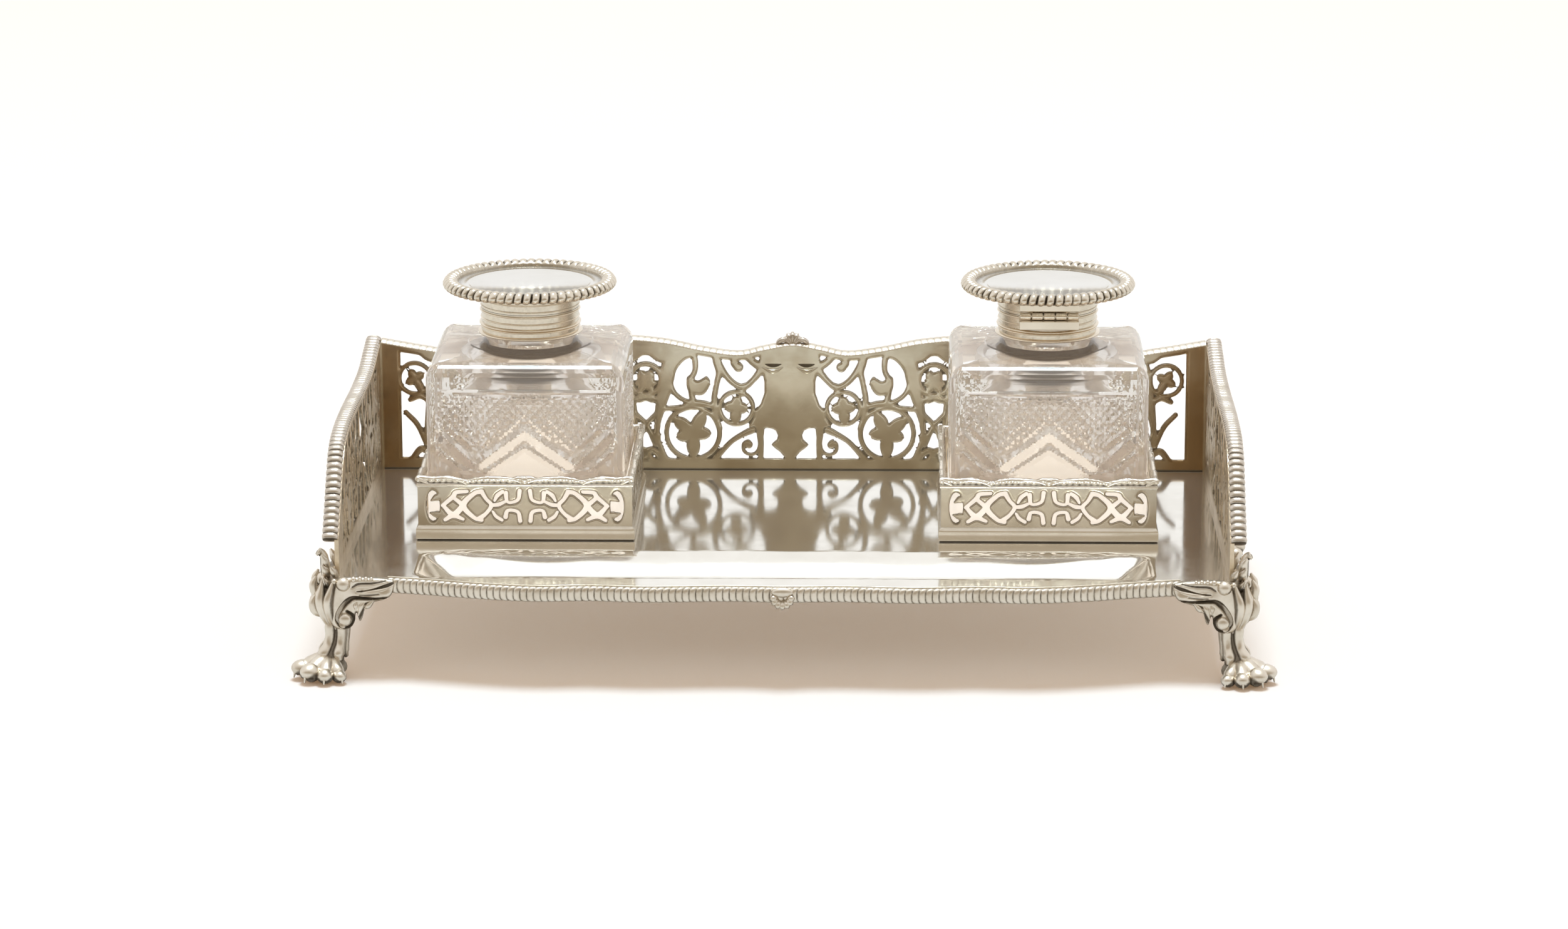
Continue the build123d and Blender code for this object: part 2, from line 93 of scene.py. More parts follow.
# A closed shell from a grid of points, turned so that its faces look outwards.
def shell(points, dark=0.0, closed=True):
    rows, cols = points.shape[:2]
    quads = gridQuads(rows, cols, closed)
    flat = points.reshape(-1, 3)
    if volumeOf(flat - flat.mean(0), quads) < 0:
        quads = quads[:, ::-1]
    return flat, quads, np.broadcast_to(dark, (rows, cols)).reshape(-1).astype(float)


# The same shell reflected through the planes x = 0 or y = 0, and turned outwards again.
def reflected(part, signX, signY):
    points, quads, dark = part
    moved = points * np.array([signX, signY, 1.0])
    return moved, quads if signX * signY > 0 else quads[:, ::-1], dark


# Joins shells into one mesh, merges points that fall together and gives every point its darkness.
def putPiece(name, shells, body, slot, material, node, sharp=40):
    points = np.concatenate([s[0] for s in shells])
    starts = np.cumsum([0] + [len(s[0]) for s in shells[:-1]])
    quads = np.concatenate([s[1] + start for s, start in zip(shells, starts)])
    dark = np.concatenate([s[2] for s in shells])
    owner = np.repeat(np.arange(len(shells)), [len(s[0]) for s in shells])
    keys = np.column_stack([np.round(points * 2e3).astype(np.int64), owner])
    kept, back = np.unique(keys, axis=0, return_index=True, return_inverse=True)[1:]
    quads = back.reshape(-1)[quads]
    points, dark = points[kept], dark[kept]
    same = quads == np.roll(quads, -1, axis=1)
    quads = quads[same.sum(1) < 2]
    same = quads == np.roll(quads, -1, axis=1)
    counts = 4 - same.sum(1)
    mesh = bpy.data.meshes.new(name)
    mesh.vertices.add(len(points))
    mesh.vertices.foreach_set("co", (points * mm).astype(np.float32).ravel())
    corners = quads[~same]
    mesh.loops.add(len(corners))
    mesh.loops.foreach_set("vertex_index", corners.astype(np.int32))
    mesh.polygons.add(len(counts))
    mesh.polygons.foreach_set("loop_start", np.concatenate([[0], np.cumsum(counts)[:-1]]).astype(np.int32))
    mesh.polygons.foreach_set("use_smooth", np.ones(len(counts), bool))
    attribute = mesh.attributes.new("dark", "FLOAT", "POINT")
    attribute.data.foreach_set("value", dark.astype(np.float32))
    mesh.update(calc_edges=True)
    mesh.validate()
    mesh.set_sharp_from_angle(angle=math.radians(sharp))
    mesh.materials.append(material)
    piece = bpy.data.objects.new(name, mesh)
    bpy.context.scene.collection.objects.link(piece)
    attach(piece, body)
    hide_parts(node)


# A profile of radius and height pairs, turned about a vertical axis.
def turned(profile, centre, dark):
    profile = np.asarray(profile, float)
    angle = roundAngles(96)
    z = np.broadcast_to(profile[:, 1:], (len(profile), angle.shape[1]))
    points = np.stack([centre[0] + profile[:, :1] * np.cos(angle),
                       centre[1] + profile[:, :1] * np.sin(angle), z], -1)
    return shell(points, np.asarray(dark)[:, None])


# A Catmull-Rom curve through the given points, sampled evenly between each pair.
def curveThrough(points, steps=8):
    p = np.asarray(points, float)
    p = np.vstack([2 * p[0] - p[1], p, 2 * p[-1] - p[-2]])
    t = (np.arange(steps) / steps)[None, :, None]
    a, b, c, d = p[:-3, None], p[1:-2, None], p[2:-1, None], p[3:, None]
    square, cube = 2 * a - 5 * b + 4 * c - d, 3 * b - a - 3 * c + d
    run = 0.5 * (2 * b + (c - a) * t + square * t ** 2 + cube * t ** 3)
    return np.vstack([run.reshape(-1, p.shape[1]), p[-2]])


# Heights from a list of distance and height pairs, joined by a smooth curve.
def heightAlong(pairs, x):
    line = curveThrough(sorted(pairs), 12)
    return np.interp(x, line[:, 0], line[:, 1])


# A section carried along a path: each point is the path's plus its two directions times the section.
# The ends are drawn together to a point on the path, so that the shell is closed.
def carried(path, across, up, sectionA, sectionB, dark=0.0):
    points = path[:, None] + across[:, None] * sectionA[..., None] + up[:, None] * sectionB[..., None]
    ends = points.mean(1, keepdims=True).repeat(points.shape[1], 1)
    points = np.concatenate([ends[:1], points, ends[-1:]])
    shades = np.broadcast_to(dark, sectionA.shape)
    return shell(points, np.concatenate([shades[:1], shades, shades[-1:]]))


# Unit vectors along a path, from the differences of its neighbours.
def alongPath(path):
    step = np.gradient(path, axis=0)
    return step / np.linalg.norm(step, axis=1, keepdims=True)


# A ball, drawn out along the three axes, with as many rings as sides. Its underside is painted darker, as
# shade.
def ball(centre, radii, sides=20, dark=0.1):
    polar = np.linspace(-math.pi / 2, math.pi / 2, sides // 2 + 1)[:, None]
    angle = roundAngles(sides)
    unit = np.stack(np.broadcast_arrays(np.cos(polar) * np.cos(angle), np.cos(polar) * np.sin(angle),
                                        np.sin(polar)), -1)
    shade = dark + 0.5 * np.clip(-np.sin(polar) - 0.3, 0, 1)
    return shell(np.asarray(centre) + unit * np.asarray(radii), np.broadcast_to(shade, unit.shape[:2]))


class Value:
    def __init__(self, paint, socket):
        self.paint = paint
        self.socket = socket

    def maths(self, operation, first, second=None):
        inputs = {0: first} if second is None else {0: first, 1: second}
        return self.paint.node("ShaderNodeMath", {"operation": operation}, inputs)

    def __add__(self, other):
        return self.maths("ADD", self, other)

    def __sub__(self, other):
        return self.maths("SUBTRACT", self, other)

    def __mul__(self, other):
        return self.maths("MULTIPLY", self, other)

    def __radd__(self, other):
        return self.maths("ADD", other, self)

    def limited(self):
        return self.paint.node("ShaderNodeClamp", {}, {0: self})


class Paint:
    def __init__(self, tree):
        self.tree = tree
        tree.nodes.clear()

    # Any node: its type, its settings, its inputs by name or number, and which output to use.
    def node(self, kind, settings, inputs, output=0):
        made = self.tree.nodes.new(kind)
        for key, setting in settings.items():
            setattr(made, key, setting)
        for key, value in inputs.items():
            if isinstance(value, Value):
                self.tree.links.new(value.socket, made.inputs[key])
            else:
                made.inputs[key].default_value = value
        return Value(self, made.outputs[output] if made.outputs else None)

    def noise(self, vector, scale, detail=3.0, roughness=0.5):
        return self.node("ShaderNodeTexNoise", {}, {"Vector": vector, "Scale": scale, "Detail": detail,
                                                    "Roughness": roughness})

    # A steady step from 0 to 1 as value goes from low to high.
    def ramp(self, value, low, high):
        return self.node("ShaderNodeMapRange", {"interpolation_type": "SMOOTHSTEP"},
                         {0: value, 1: low, 2: high, 3: 0.0, 4: 1.0})

    def blend(self, factor, first, second):
        return self.node("ShaderNodeMix", {"data_type": "RGBA"}, {0: factor, 6: first, 7: second}, 2)

    # The x, y and z of a place, as three values.
    def parts(self, vector):
        return [self.node("ShaderNodeSeparateXYZ", {}, {0: vector}, number) for number in range(3)]

    def absolute(self, value):
        return self.node("ShaderNodeMath", {"operation": "ABSOLUTE"}, {0: value}, "Value")

    def bump(self, strength, distance, height):
        return self.node("ShaderNodeBump", {}, {"Strength": strength, "Distance": distance, "Height": height},
                         "Normal")

    def surface(self, inputs):
        return self.node("ShaderNodeBsdfPrincipled", {}, inputs)

    def seenBy(self, ray):
        return self.node("ShaderNodeLightPath", {}, {}, f"Is {ray} Ray")


def rgba(colour):
    return (*colour, 1.0)


def newPaint(name):
    material = bpy.data.materials.new(name)
    material.use_nodes = True
    return material, Paint(material.node_tree)


silverCare = {
    "high": (0.86, 0.81, 0.73),  # where polishing rubs it bright
    "low": (0.66, 0.60, 0.50),  # where a warm film of tarnish stays, and where the piece's darkness paints shade
    "brown": (0.35, 0.235, 0.125),  # browner near the gallery's ends, in its corners
    "pitAndShade": (0.075, 0.055, 0.035),  # black-brown of polish in the depths of the ornament, and painted shade on sides, undersides and edges
    "cloud": (0.35, 0.7), "pitAndShadeDepth": (0.30, 0.95), "scratchScale": 900.0, "waveScale": 30.0,
    "bumpHeight": 0.0002,
}
# metres: the brown sets in between the first two distances from the middle and ends between the
# next two, and it stays in front of the last two places along y
cornerBrown = {"start": (0.110, 0.131), "end": (0.1352, 0.1358), "behind": (0.0710, 0.0704)}


# Polished silver: its colour goes from the bright to the filmed by soft noise, and on to the dark of the
# pits by the piece's own darkness, which is polish in its hollows and painted shade on sides, undersides
# and edges; its roughness follows the same two. Corners brown it near the gallery's ends. Metal below 1
# leaves it a little of a matt skin.
def silver(name, film, pitsAndShade, roughness, wave, scratch=0.02, filmScale=55.0, tone=(1, 1, 1), corners=0.0,
           metal=1.0):
    material, paint = newPaint(name)
    place = paint.node("ShaderNodeTexCoord", {}, {}, "Object")
    cloud = paint.ramp(paint.noise(place, filmScale, 4.0, 0.6), *silverCare["cloud"])
    fine = paint.noise(place, silverCare["scratchScale"], 2.0, 0.7)
    depth = paint.node("ShaderNodeAttribute", {"attribute_name": "dark"}, {}, "Fac")
    # black-brown both for polish in the hollows and for painted shade
    pitAndShade = paint.ramp(depth + (fine - 0.5) * 0.35, *silverCare["pitAndShadeDepth"]) * pitsAndShade
    filmAndShade = (cloud * film + depth * 0.45 * pitsAndShade).limited()
    high, low = (rgba([c * share for c, share in zip(silverCare[key], tone)]) for key in ("high", "low"))
    colour = paint.blend(filmAndShade, high, low)
    if corners:
        x, y, _ = paint.parts(place)
        across = paint.absolute(x)
        brown = paint.ramp(across, *cornerBrown["start"]) * corners
        brown = brown + paint.ramp(across, *cornerBrown["end"]) * (-0.9 * corners)
        brown = brown * paint.ramp(y, *cornerBrown["behind"])
        colour = paint.blend((brown + cloud * 0.25).limited(), colour, rgba(silverCare["brown"]))
    colour = paint.blend(pitAndShade, colour, rgba(silverCare["pitAndShade"]))
    rough = (roughness + cloud * 0.05 + fine * 0.04 + pitAndShade * 0.35).limited()
    height = fine * scratch + paint.noise(place, silverCare["waveScale"], 1.0) * wave
    bump = paint.bump(1.0, silverCare["bumpHeight"], height)
    shader = paint.surface({"Base Color": colour, "Metallic": metal, "Roughness": rough, "Normal": bump})
    paint.node("ShaderNodeOutputMaterial", {}, {"Surface": shader})
    return material


# Heights and squares of the radius in metres; the shares of the worn surface.
crystalCare = {
    "clear": (0.97, 0.955, 0.93), "worn": (0.92, 0.85, 0.76), "throatShade": (0.03, 0.02, 0.015),
    "bodyGlow": (0.09, 0.068, 0.055), "footGlow": (0.90, 0.86, 0.79), "index": 1.53,
    "throatRound": (0.000289, 0.000240), "throatLow": (0.0775, 0.0790), "throatHigh": (0.0852, 0.0838),
    "foot": (0.0490, 0.0475), "wornShare": 0.21, "footShare": 0.45, "throatShare": 0.78,
}


# Cut crystal: clear glass with hair-fine polish marks and a soft worn surface over part of it. Its
# foot, below the holder's rim, glows faintly in place of the light that the cutting would scatter
# there, and the rest of the worn surface glows more faintly, in place of light passing through from
# behind. The throat of its well is painted dark, as the shade of the collar seen through the glass.
def crystal(name):
    material, paint = newPaint(name)
    place = paint.node("ShaderNodeTexCoord", {}, {}, "Object")
    marks = paint.noise(place, 260.0, 3.0, 0.6)
    clear = paint.surface({
        "Base Color": rgba(crystalCare["clear"]), "Roughness": paint.ramp(marks, 0.5, 0.9) * 0.05,
        "IOR": crystalCare["index"], "Transmission Weight": 1.0, "Normal": paint.bump(0.25, 0.0001, marks)})
    x, y, height = paint.parts(place)
    across = paint.absolute(x) - bottleX * mm
    along = y - bottleY * mm
    # the throat is painted dark, as the shade of the collar seen through the glass
    throat = paint.ramp(across * across + along * along, *crystalCare["throatRound"])
    throat = throat * paint.ramp(height, *crystalCare["throatLow"])
    throat = throat * paint.ramp(height, *crystalCare["throatHigh"])
    inside = paint.node("ShaderNodeNewGeometry", {}, {}, "Backfacing")
    foot = paint.ramp(height, *crystalCare["foot"])
    bodyGlow, footGlow = rgba(crystalCare["bodyGlow"]), rgba(crystalCare["footGlow"])
    glow = paint.blend(foot * (inside * -1.0 + 1.0), bodyGlow, footGlow)
    worn = paint.surface({
        "Base Color": paint.blend(throat, rgba(crystalCare["worn"]), rgba(crystalCare["throatShade"])),
        "Roughness": 0.5, "Specular IOR Level": 0.3,
        "Emission Color": paint.blend(throat, glow, rgba((0.0, 0.0, 0.0))), "Emission Strength": 1.0})
    share = foot * crystalCare["footShare"] + throat * crystalCare["throatShare"] + crystalCare["wornShare"]
    both = paint.node("ShaderNodeMixShader", {}, {0: share, 1: clear, 2: worn})
    paint.node("ShaderNodeOutputMaterial", {}, {"Surface": both})
    return material


traySilver = silver("traySilver", 0.3, 0.6, 0.055, wave=0.3, scratch=0.01, tone=(1.07, 1.10, 1.14),
                    metal=0.91)
panelSilver = silver("panelSilver", 0.9, 0.9, 0.16, wave=0.5, tone=(0.74, 0.71, 0.62), corners=0.85)
railSilver = silver("railSilver", 0.6, 0.9, 0.24, wave=0.5, filmScale=140.0, tone=(0.78, 0.74, 0.71))
# a paler, rougher copy of the rail silver, for the back rail
paleRailSilver = silver("paleRailSilver", 0.5, 0.3, 0.32, wave=0.4, filmScale=120.0, tone=(0.92, 0.88, 0.82))
wallSilver = silver("wallSilver", 0.5, 0.9, 0.2, wave=0.5, filmScale=90.0, tone=(0.68, 0.63, 0.55))
# the dish's pale bluish tone is a painted reflection of the sky
dishSilver = silver("dishSilver", 0.2, 0.6, 0.12, wave=0.3, tone=(0.99, 1.03, 1.09))
castSilver = silver("castSilver", 0.6, 0.75, 0.31, wave=0.6, filmScale=140.0, tone=(0.91, 0.87, 0.82))
holderSilver = silver("holderSilver", 0.4, 0.9, 0.2, wave=0.5, filmScale=90.0, tone=(1.05, 1.04, 1.02),
                      metal=0.9)
collarSilver = silver("collarSilver", 0.4, 0.9, 0.17, wave=0.3, tone=(0.98, 0.93, 0.85))
sideSilver = silver("sideSilver", 1.0, 0.9, 0.3, wave=1.2, filmScale=150.0, tone=(0.93, 0.83, 0.70))
lidSilver = silver("lidSilver", 0.45, 1.0, 0.17, wave=0.4, tone=(0.9, 0.86, 0.80))
cutCrystal = crystal("cutCrystal")
print("finishes made")


frontCurve = ((121, 1.3), (108, 4.0), (92, 8.0), (75, 10.6), (58.5, 9.7), (41, 11.0), (18, 9.7), (0, 10.3))
tray = {"thick": 1.6, "troughLength": 226.0, "troughWidth": 27.4, "troughY": -51.5, "troughSlope": 0.56,
        "troughRound": 4.8, "troughCorner": 5.0, "edgeSoft": 0.8, "floorBend": 0.3, "margin": 7.3,
        "marginEnd": 118, "marginFade": 8, "marginFall": 0.055, "frontEnd": 121.0}


def mirrored(points):
    return sorted([(-x, y) for x, y in points if x] + list(points))


frontLine = mirrored(frontCurve)


# Reach of the tray's front edge past its corners, at distance x from the middle.
def frontReach(x):
    return heightAlong(frontLine, np.clip(x, -tray["frontEnd"], tray["frontEnd"]))


# The trough sinks evenly from its rounded outline down a long slope, and rounds off to its floor.
# The margin in front of it falls a hair towards the border.
def troughSink(x, y):
    half, corner = tray["troughWidth"] / 2, tray["troughCorner"]
    overX = np.abs(x) - (tray["troughLength"] / 2 - corner)
    overY = np.abs(y - tray["troughY"]) - (half - corner)
    outside = np.hypot(np.maximum(overX, 0), np.maximum(overY, 0))
    away = outside + np.minimum(np.maximum(overX, overY), 0) - corner
    inward = np.clip(-away, 0, half)
    soft = tray["edgeSoft"]
    inward = np.where(inward < soft, inward ** 2 / (2 * soft), inward - soft / 2)
    sink = tray["troughSlope"] * inward
    past = np.maximum(sink - tray["troughRound"], 0)
    margin = np.clip(tray["troughY"] - half - y, 0, tray["margin"])
    margin = margin * np.clip((tray["marginEnd"] - np.abs(x)) / tray["marginFade"], 0, 1)
    return sink - past ** 2 * tray["floorBend"] + tray["marginFall"] * margin


# A flat plate whose rows run from the serpentine front to the back, closer together over the trough.
# Each column is a closed loop over and under, and the two end loops are drawn together flat.
def trayPlate():
    x = np.linspace(-halfWidth, halfWidth, 273)
    rows = np.concatenate([np.linspace(0, 0.02, 3), np.linspace(0.03, 0.235, 46), np.linspace(0.25, 1, 34)])
    start = cornerY - frontReach(x)[None, :]
    y = start + (backY - start) * rows[:, None]
    x = np.broadcast_to(x, y.shape)
    upper = np.stack([x, y, trayTop - troughSink(x, y)], -1)
    points = np.concatenate([upper, (upper - [0, 0, tray["thick"]])[::-1]])
    middle = (points + points[::-1]) / 2
    points = np.concatenate([middle[:, :1], points, middle[:, -1:]], 1)
    return shell(np.swapaxes(points, 0, 1))


putPiece("tray_plate_polished", [trayPlate()], "tray", "tray_silver", traySilver, "tray_plate", sharp=30)
print("tray made")


glass = {"half": 31.0, "corner": 4.0, "shoulder": 5.5, "shoulderTop": 87.1, "ledge": 20.0, "ledgeTop": 88.1,
         "neck": 14.22, "neckTop": 98.45, "bore": 10.5, "well": 21.5, "wellShoulder": 74.0, "wellTop": 83.0,
         "wellFloor": 40.0, "wellRound": 6.0, "step": 0.55}
# mitres over each face: points by distance from its middle and height, then half width and depth
mitres = (
    (((-31, 68.5), (-15.5, 54.4), (0, 65.6), (15.5, 54.4), (31, 68.5)), 1.9, 1.5),
    (((-31, 62.5), (-20.5, 53.2), (-12.5, 52.0), (0, 60.4), (12.5, 52.0), (20.5, 53.2), (31, 62.5)),
     1.2, 0.9),
    (((-23.5, 66.6), (-17.2, 61.2)), 1.1, 0.8),
    (((23.5, 66.6), (17.2, 61.2)), 1.1, 0.8),
    (((-31, 78.2), (31, 78.2)), 0.8, 0.5),
    (((-27.6, 47.0), (-27.6, 83.0)), 0.9, 0.5),
    (((27.6, 47.0), (27.6, 83.0)), 0.9, 0.5),
)
hobnails = {"floor": ((0, 67.5), (15.5, 58.5), (31, 70.5)), "high": 77.4, "reach": 26.6, "pitch": 3.1,
            "depth": 0.55}


# Distance from every point to a chain of straight lines.
def chainDistance(x, z, chain):
    return np.min([lineDistance(x, z, start, end)[0] for start, end in zip(chain[:-1], chain[1:])], axis=0)


# Depth of the cutting on a face: V-shaped mitres, and over them a band of pyramids left
# standing between two sets of slanting cuts.
def cutDepth(x, z):
    depth = np.zeros(np.broadcast(x, z).shape)
    for chain, half, deep in mitres:
        depth = np.maximum(depth, deep * np.clip(1 - chainDistance(x, z, chain) / half, 0, 1))
    lattice = 0
    for slant in (1, -1):
        phase = ((x + slant * z) / hobnails["pitch"]) % 1
        lattice = np.maximum(lattice, np.abs(phase - 0.5) * 2)
    floor = np.interp(np.abs(x), *np.array(hobnails["floor"]).T)
    band = np.clip((z - floor) / 1.5, 0, 1) * np.clip((hobnails["high"] - z) / 0.8, 0, 1)
    band = band * np.clip((hobnails["reach"] - np.abs(x)) / 0.8, 0, 1)
    return np.maximum(depth, band * hobnails["depth"] * lattice ** 2)


# A square with round corners as a loop of points, with the way out and the place along its side.
def squareLoop():
    flat = glass["half"] - glass["corner"]
    count = int(2 * flat / glass["step"])
    along = np.linspace(-flat, flat, count)
    turn = np.linspace(0, math.pi / 2, 8)[1:-1]
    x = np.concatenate([along, flat + glass["corner"] * np.sin(turn)])
    y = np.concatenate([-glass["half"] + 0 * along, -flat - glass["corner"] * np.cos(turn)])
    outX = np.concatenate([0 * along, np.sin(turn)])
    outY = np.concatenate([-1 + 0 * along, -np.cos(turn)])
    loops = []
    for c, s in quarterTurns:
        loops.append(np.column_stack([x * c - y * s, x * s + y * c, outX * c - outY * s,
                                      outX * s + outY * c, x]))
    return np.concatenate(loops)


# The bottle is one closed surface of loops: from the middle of its base out and up the cut faces,
# over the shoulder to the round neck, and down inside to the floor of the well.
def bottleShell(centre):
    x, y, outX, outY, side = squareLoop().T
    angle = np.arctan2(y, x)
    base = bottleLow[2] + 0.02
    top, rise = glass["shoulderTop"], glass["shoulder"]
    rows = [(x * 0, y * 0, base), (x * 0.94, y * 0.94, base)]
    onFace = (np.abs(outX) > 0.999) | (np.abs(outY) > 0.999)
    for z in np.arange(base + 0.6, top - rise, glass["step"]):
        deep = np.where(onFace, cutDepth(side, z), 0.0)
        rows.append((x - outX * deep, y - outY * deep, z))
    for lean in np.linspace(0, math.pi / 2, 7):
        inset = rise * (1 - math.cos(lean))
        rows.append((x - outX * inset, y - outY * inset, top - rise + rise * math.sin(lean)))
    edgeX, edgeY = rows[-1][:2]
    roundX, roundY = glass["ledge"] * np.cos(angle), glass["ledge"] * np.sin(angle)
    for share in (0.3, 0.6, 0.85, 1.0):
        rows.append((edgeX + (roundX - edgeX) * share, edgeY + (roundY - edgeY) * share, top + 0.7 * share))
    ledge, neck, bore, well = glass["ledgeTop"], glass["neck"], glass["bore"], glass["well"]
    shoulder, floor, bend = glass["wellShoulder"], glass["wellFloor"], glass["wellRound"]
    inside = [(glass["ledge"] - 0.5, ledge), (neck + 1.0, ledge + 0.3), (neck, ledge + 1.2),
              (neck, glass["neckTop"]), (bore, glass["neckTop"]), (bore, glass["wellTop"] + 1.0),
              (bore + 0.4, glass["wellTop"]), (well - 1.2, shoulder + 0.9), (well - 0.3, shoulder),
              (well, shoulder - 1.5), (well, floor + bend)]
    for lean in np.linspace(0.2, math.pi / 2, 7):
        inside.append((well - bend * (1 - math.cos(lean)), floor + bend * (1 - math.sin(lean))))
    inside.append((0.0, floor))
    rows += [(r * np.cos(angle), r * np.sin(angle), z) for r, z in inside]
    points = np.stack([np.column_stack([centre[0] + px, centre[1] + py, np.full(len(x), z)])
                       for px, py, z in rows])
    return shell(points)


collar = {"low": 90.9, "top": 99.2, "radius": 15.45, "inside": 14.3, "bore": 10.5, "neckTop": 98.55}
# beads of the collar and of the lid's cap: height, reach and half thickness
collarBeads = ((91.5, 1.15, 0.55), (93.5, 0.4, 0.3), (94.3, 0.7, 0.42), (96.2, 0.3, 0.22), (98.5, 0.5, 0.35))
capBeads = ((100.1, 0.35, 0.25), (102.3, 0.25, 0.2), (104.3, 0.65, 0.42))
lid = {"parting": 99.35, "cap": 105.0, "recess": 3.0, "recessRadius": 12.6, "hollow": 22.6, "radius": 27.5,
       "rimLow": 104.95, "rimTop": 108.95, "lobes": 60, "lobeDepth": 0.95}
hinge = {"reach": 17.0, "height": 100.0, "barrel": 1.22, "length": 18.7, "knuckles": 5, "gap": 0.35,
         "leafNear": 11.6, "leafPast": 0.65, "collarLeaf": (95.6, 98.5), "lidLeaf": (101.5, 103.8),
         "soft": 0.25}


# A straight wall from low to high with half-round beads standing out of it, and the darkness of the
# grooves between them.
def beadedWall(low, high, beads):
    z = np.arange(low, high + 0.05, 0.1)
    r = np.full(len(z), collar["radius"])
    for height, reach, half in beads:
        r = np.maximum(r, collar["radius"] + reach * np.sqrt(np.clip(1 - ((z - height) / half) ** 2, 0, 1)))
    return np.column_stack([r, z]), np.clip(0.75 - (r - collar["radius"]) * 3.0, 0, 0.75) * 0.55


def collarShell(centre):
    wall, grooves = beadedWall(collar["low"], collar["top"], collarBeads)
    inner = [(collar["bore"], collar["top"]), (collar["bore"], collar["neckTop"]),
             (collar["inside"], collar["neckTop"]), (collar["inside"], collar["low"]), tuple(wall[0])]
    # the inside and the foot of the collar are painted darker, as shade
    return turned(np.vstack([wall, inner]), centre, np.concatenate([grooves, np.full(len(inner), 0.6)]))


def capShell(centre):
    wall, grooves = beadedWall(lid["parting"], lid["cap"], capBeads)
    under = [(0, lid["parting"] + lid["recess"]), (lid["recessRadius"], lid["parting"] + lid["recess"]),
             (lid["recessRadius"], lid["parting"])]
    # the recess under the cap is painted darker, as shade
    return turned(np.vstack([under, wall, [(0, lid["cap"])]]), centre,
                  np.concatenate([[0.6] * 3, grooves, [0.3]]))


# The dish: flat in the middle, with a low step and a cove that rises to the rim.
def dishShell(centre):
    hollow, cap = lid["hollow"], lid["cap"]
    profile = [(0, cap - 0.02), (18.0, cap), (19.8, cap + 0.1), (hollow + 0.6, 105.2), (hollow + 0.6, 107.0),
               (hollow - 0.3, 106.9), (hollow - 0.9, 106.75), (20.6, 106.55), (20.2, 106.72),
               (19.6, 106.78), (19.1, 106.6), (18.6, 106.35), (0, 106.3)]
    # the underside and the cove under the rim are painted darker, a ring of shade
    return turned(profile, centre, [0.5, 0.5, 0.6, 0.6, 0.6, 0.7, 0.55, 0.35, 0.0, 0.0, 0.15, 0.05, 0.0])


# The rim is a torus of half-round section, cut into lobes: |sin| of the angle to a low power is 1
# on a lobe's back and falls to 0 in the groove beside it.
def rimShell(centre, phase):
    hollow, radius, low, top = lid["hollow"], lid["radius"], lid["rimLow"], lid["rimTop"]
    profile = [(hollow, low + 0.2), (hollow, top - 1.6), (hollow + 0.5, top - 0.75),
               (hollow + 1.4, top - 0.2), (hollow + 2.4, top), (radius - 1.3, top - 0.25),
               (radius - 0.5, top - 0.95), (radius, top - 1.9),
               (radius - 0.1, top - 2.7), (radius - 0.7, top - 3.4), (radius - 1.6, top - 3.85),
               (hollow + 1.5, low), (hollow, low + 0.2)]
    profile = curveThrough(profile, 3)
    angle = roundAngles(lid["lobes"] * 14)
    share = np.linspace(0, 1, len(profile))[:, None]
    sides = np.abs(np.sin(angle * lid["lobes"] / 2 + phase + 1.6 * share)) ** 0.55
    outside = np.clip((share - 0.12) * 7, 0, 1) * np.clip((0.93 - share) * 9, 0, 1)
    cut = (1 - sides) * outside * (1 + 0.25 * np.sin(angle * 7 + phase))
    inward = np.array([hollow + 2.3, top - 2.2]) - profile
    inward /= np.linalg.norm(inward, axis=1, keepdims=True)
    r = profile[:, :1] + inward[:, :1] * cut * lid["lobeDepth"]
    z = profile[:, 1:] + inward[:, 1:] * cut * lid["lobeDepth"]
    points = np.stack([centre[0] + r * np.cos(angle), centre[1] + r * np.sin(angle), z], -1)
    # the grooves between the lobes are darkened, and the rim's inner wall is painted darker, as shade
    dark = 0.05 + 1.15 * cut + 0.45 * (1 - outside) * (share < 0.5)
    return shell(points, np.clip(dark, 0, 1))


# A hinge knuckle: a barrel along X with rounded ends.
def barrelShell(x0, x1, y):
    radius, angle = hinge["barrel"], roundAngles(24)
    profile = np.array([(x0, 0), (x0, radius - 0.15), (x0 + 0.15, radius), (x1 - 0.15, radius),
                        (x1, radius - 0.15), (x1, 0)])
    points = np.stack([profile[:, :1] + 0 * angle, y + profile[:, 1:] * np.cos(angle),
                       hinge["height"] + profile[:, 1:] * np.sin(angle)], -1)
    # the knuckles' ends are painted dark, as shade in the gaps between them
    return shell(points, np.array([1, 0.8, 0.1, 0.1, 0.8, 1])[:, None])


# A block with slightly rounded edges, as loops of a squared ellipse drawn in at both ends.
def blockShell(low, high):
    low, high = np.asarray(low, float), np.asarray(high, float)
    middle, half = (low + high) / 2, (high - low) / 2
    turn = roundAngles(64)[0]
    squareC, squareS = (np.sign(part) * np.abs(part) ** 0.12 for part in (np.cos(turn), np.sin(turn)))
    soft = hinge["soft"]
    rows = []
    for height, inset in ((-1, None), (-1, soft), (-1 + soft / half[2], 0), (1 - soft / half[2], 0),
                          (1, soft), (1, None)):
        scale = np.zeros(2) if inset is None else half[:2] - inset
        rows.append(np.column_stack([middle[0] + squareC * scale[0], middle[1] + squareS * scale[1],
                                     np.full(len(turn), middle[2] + height * half[2])]))
    return shell(np.stack(rows), 0.15)


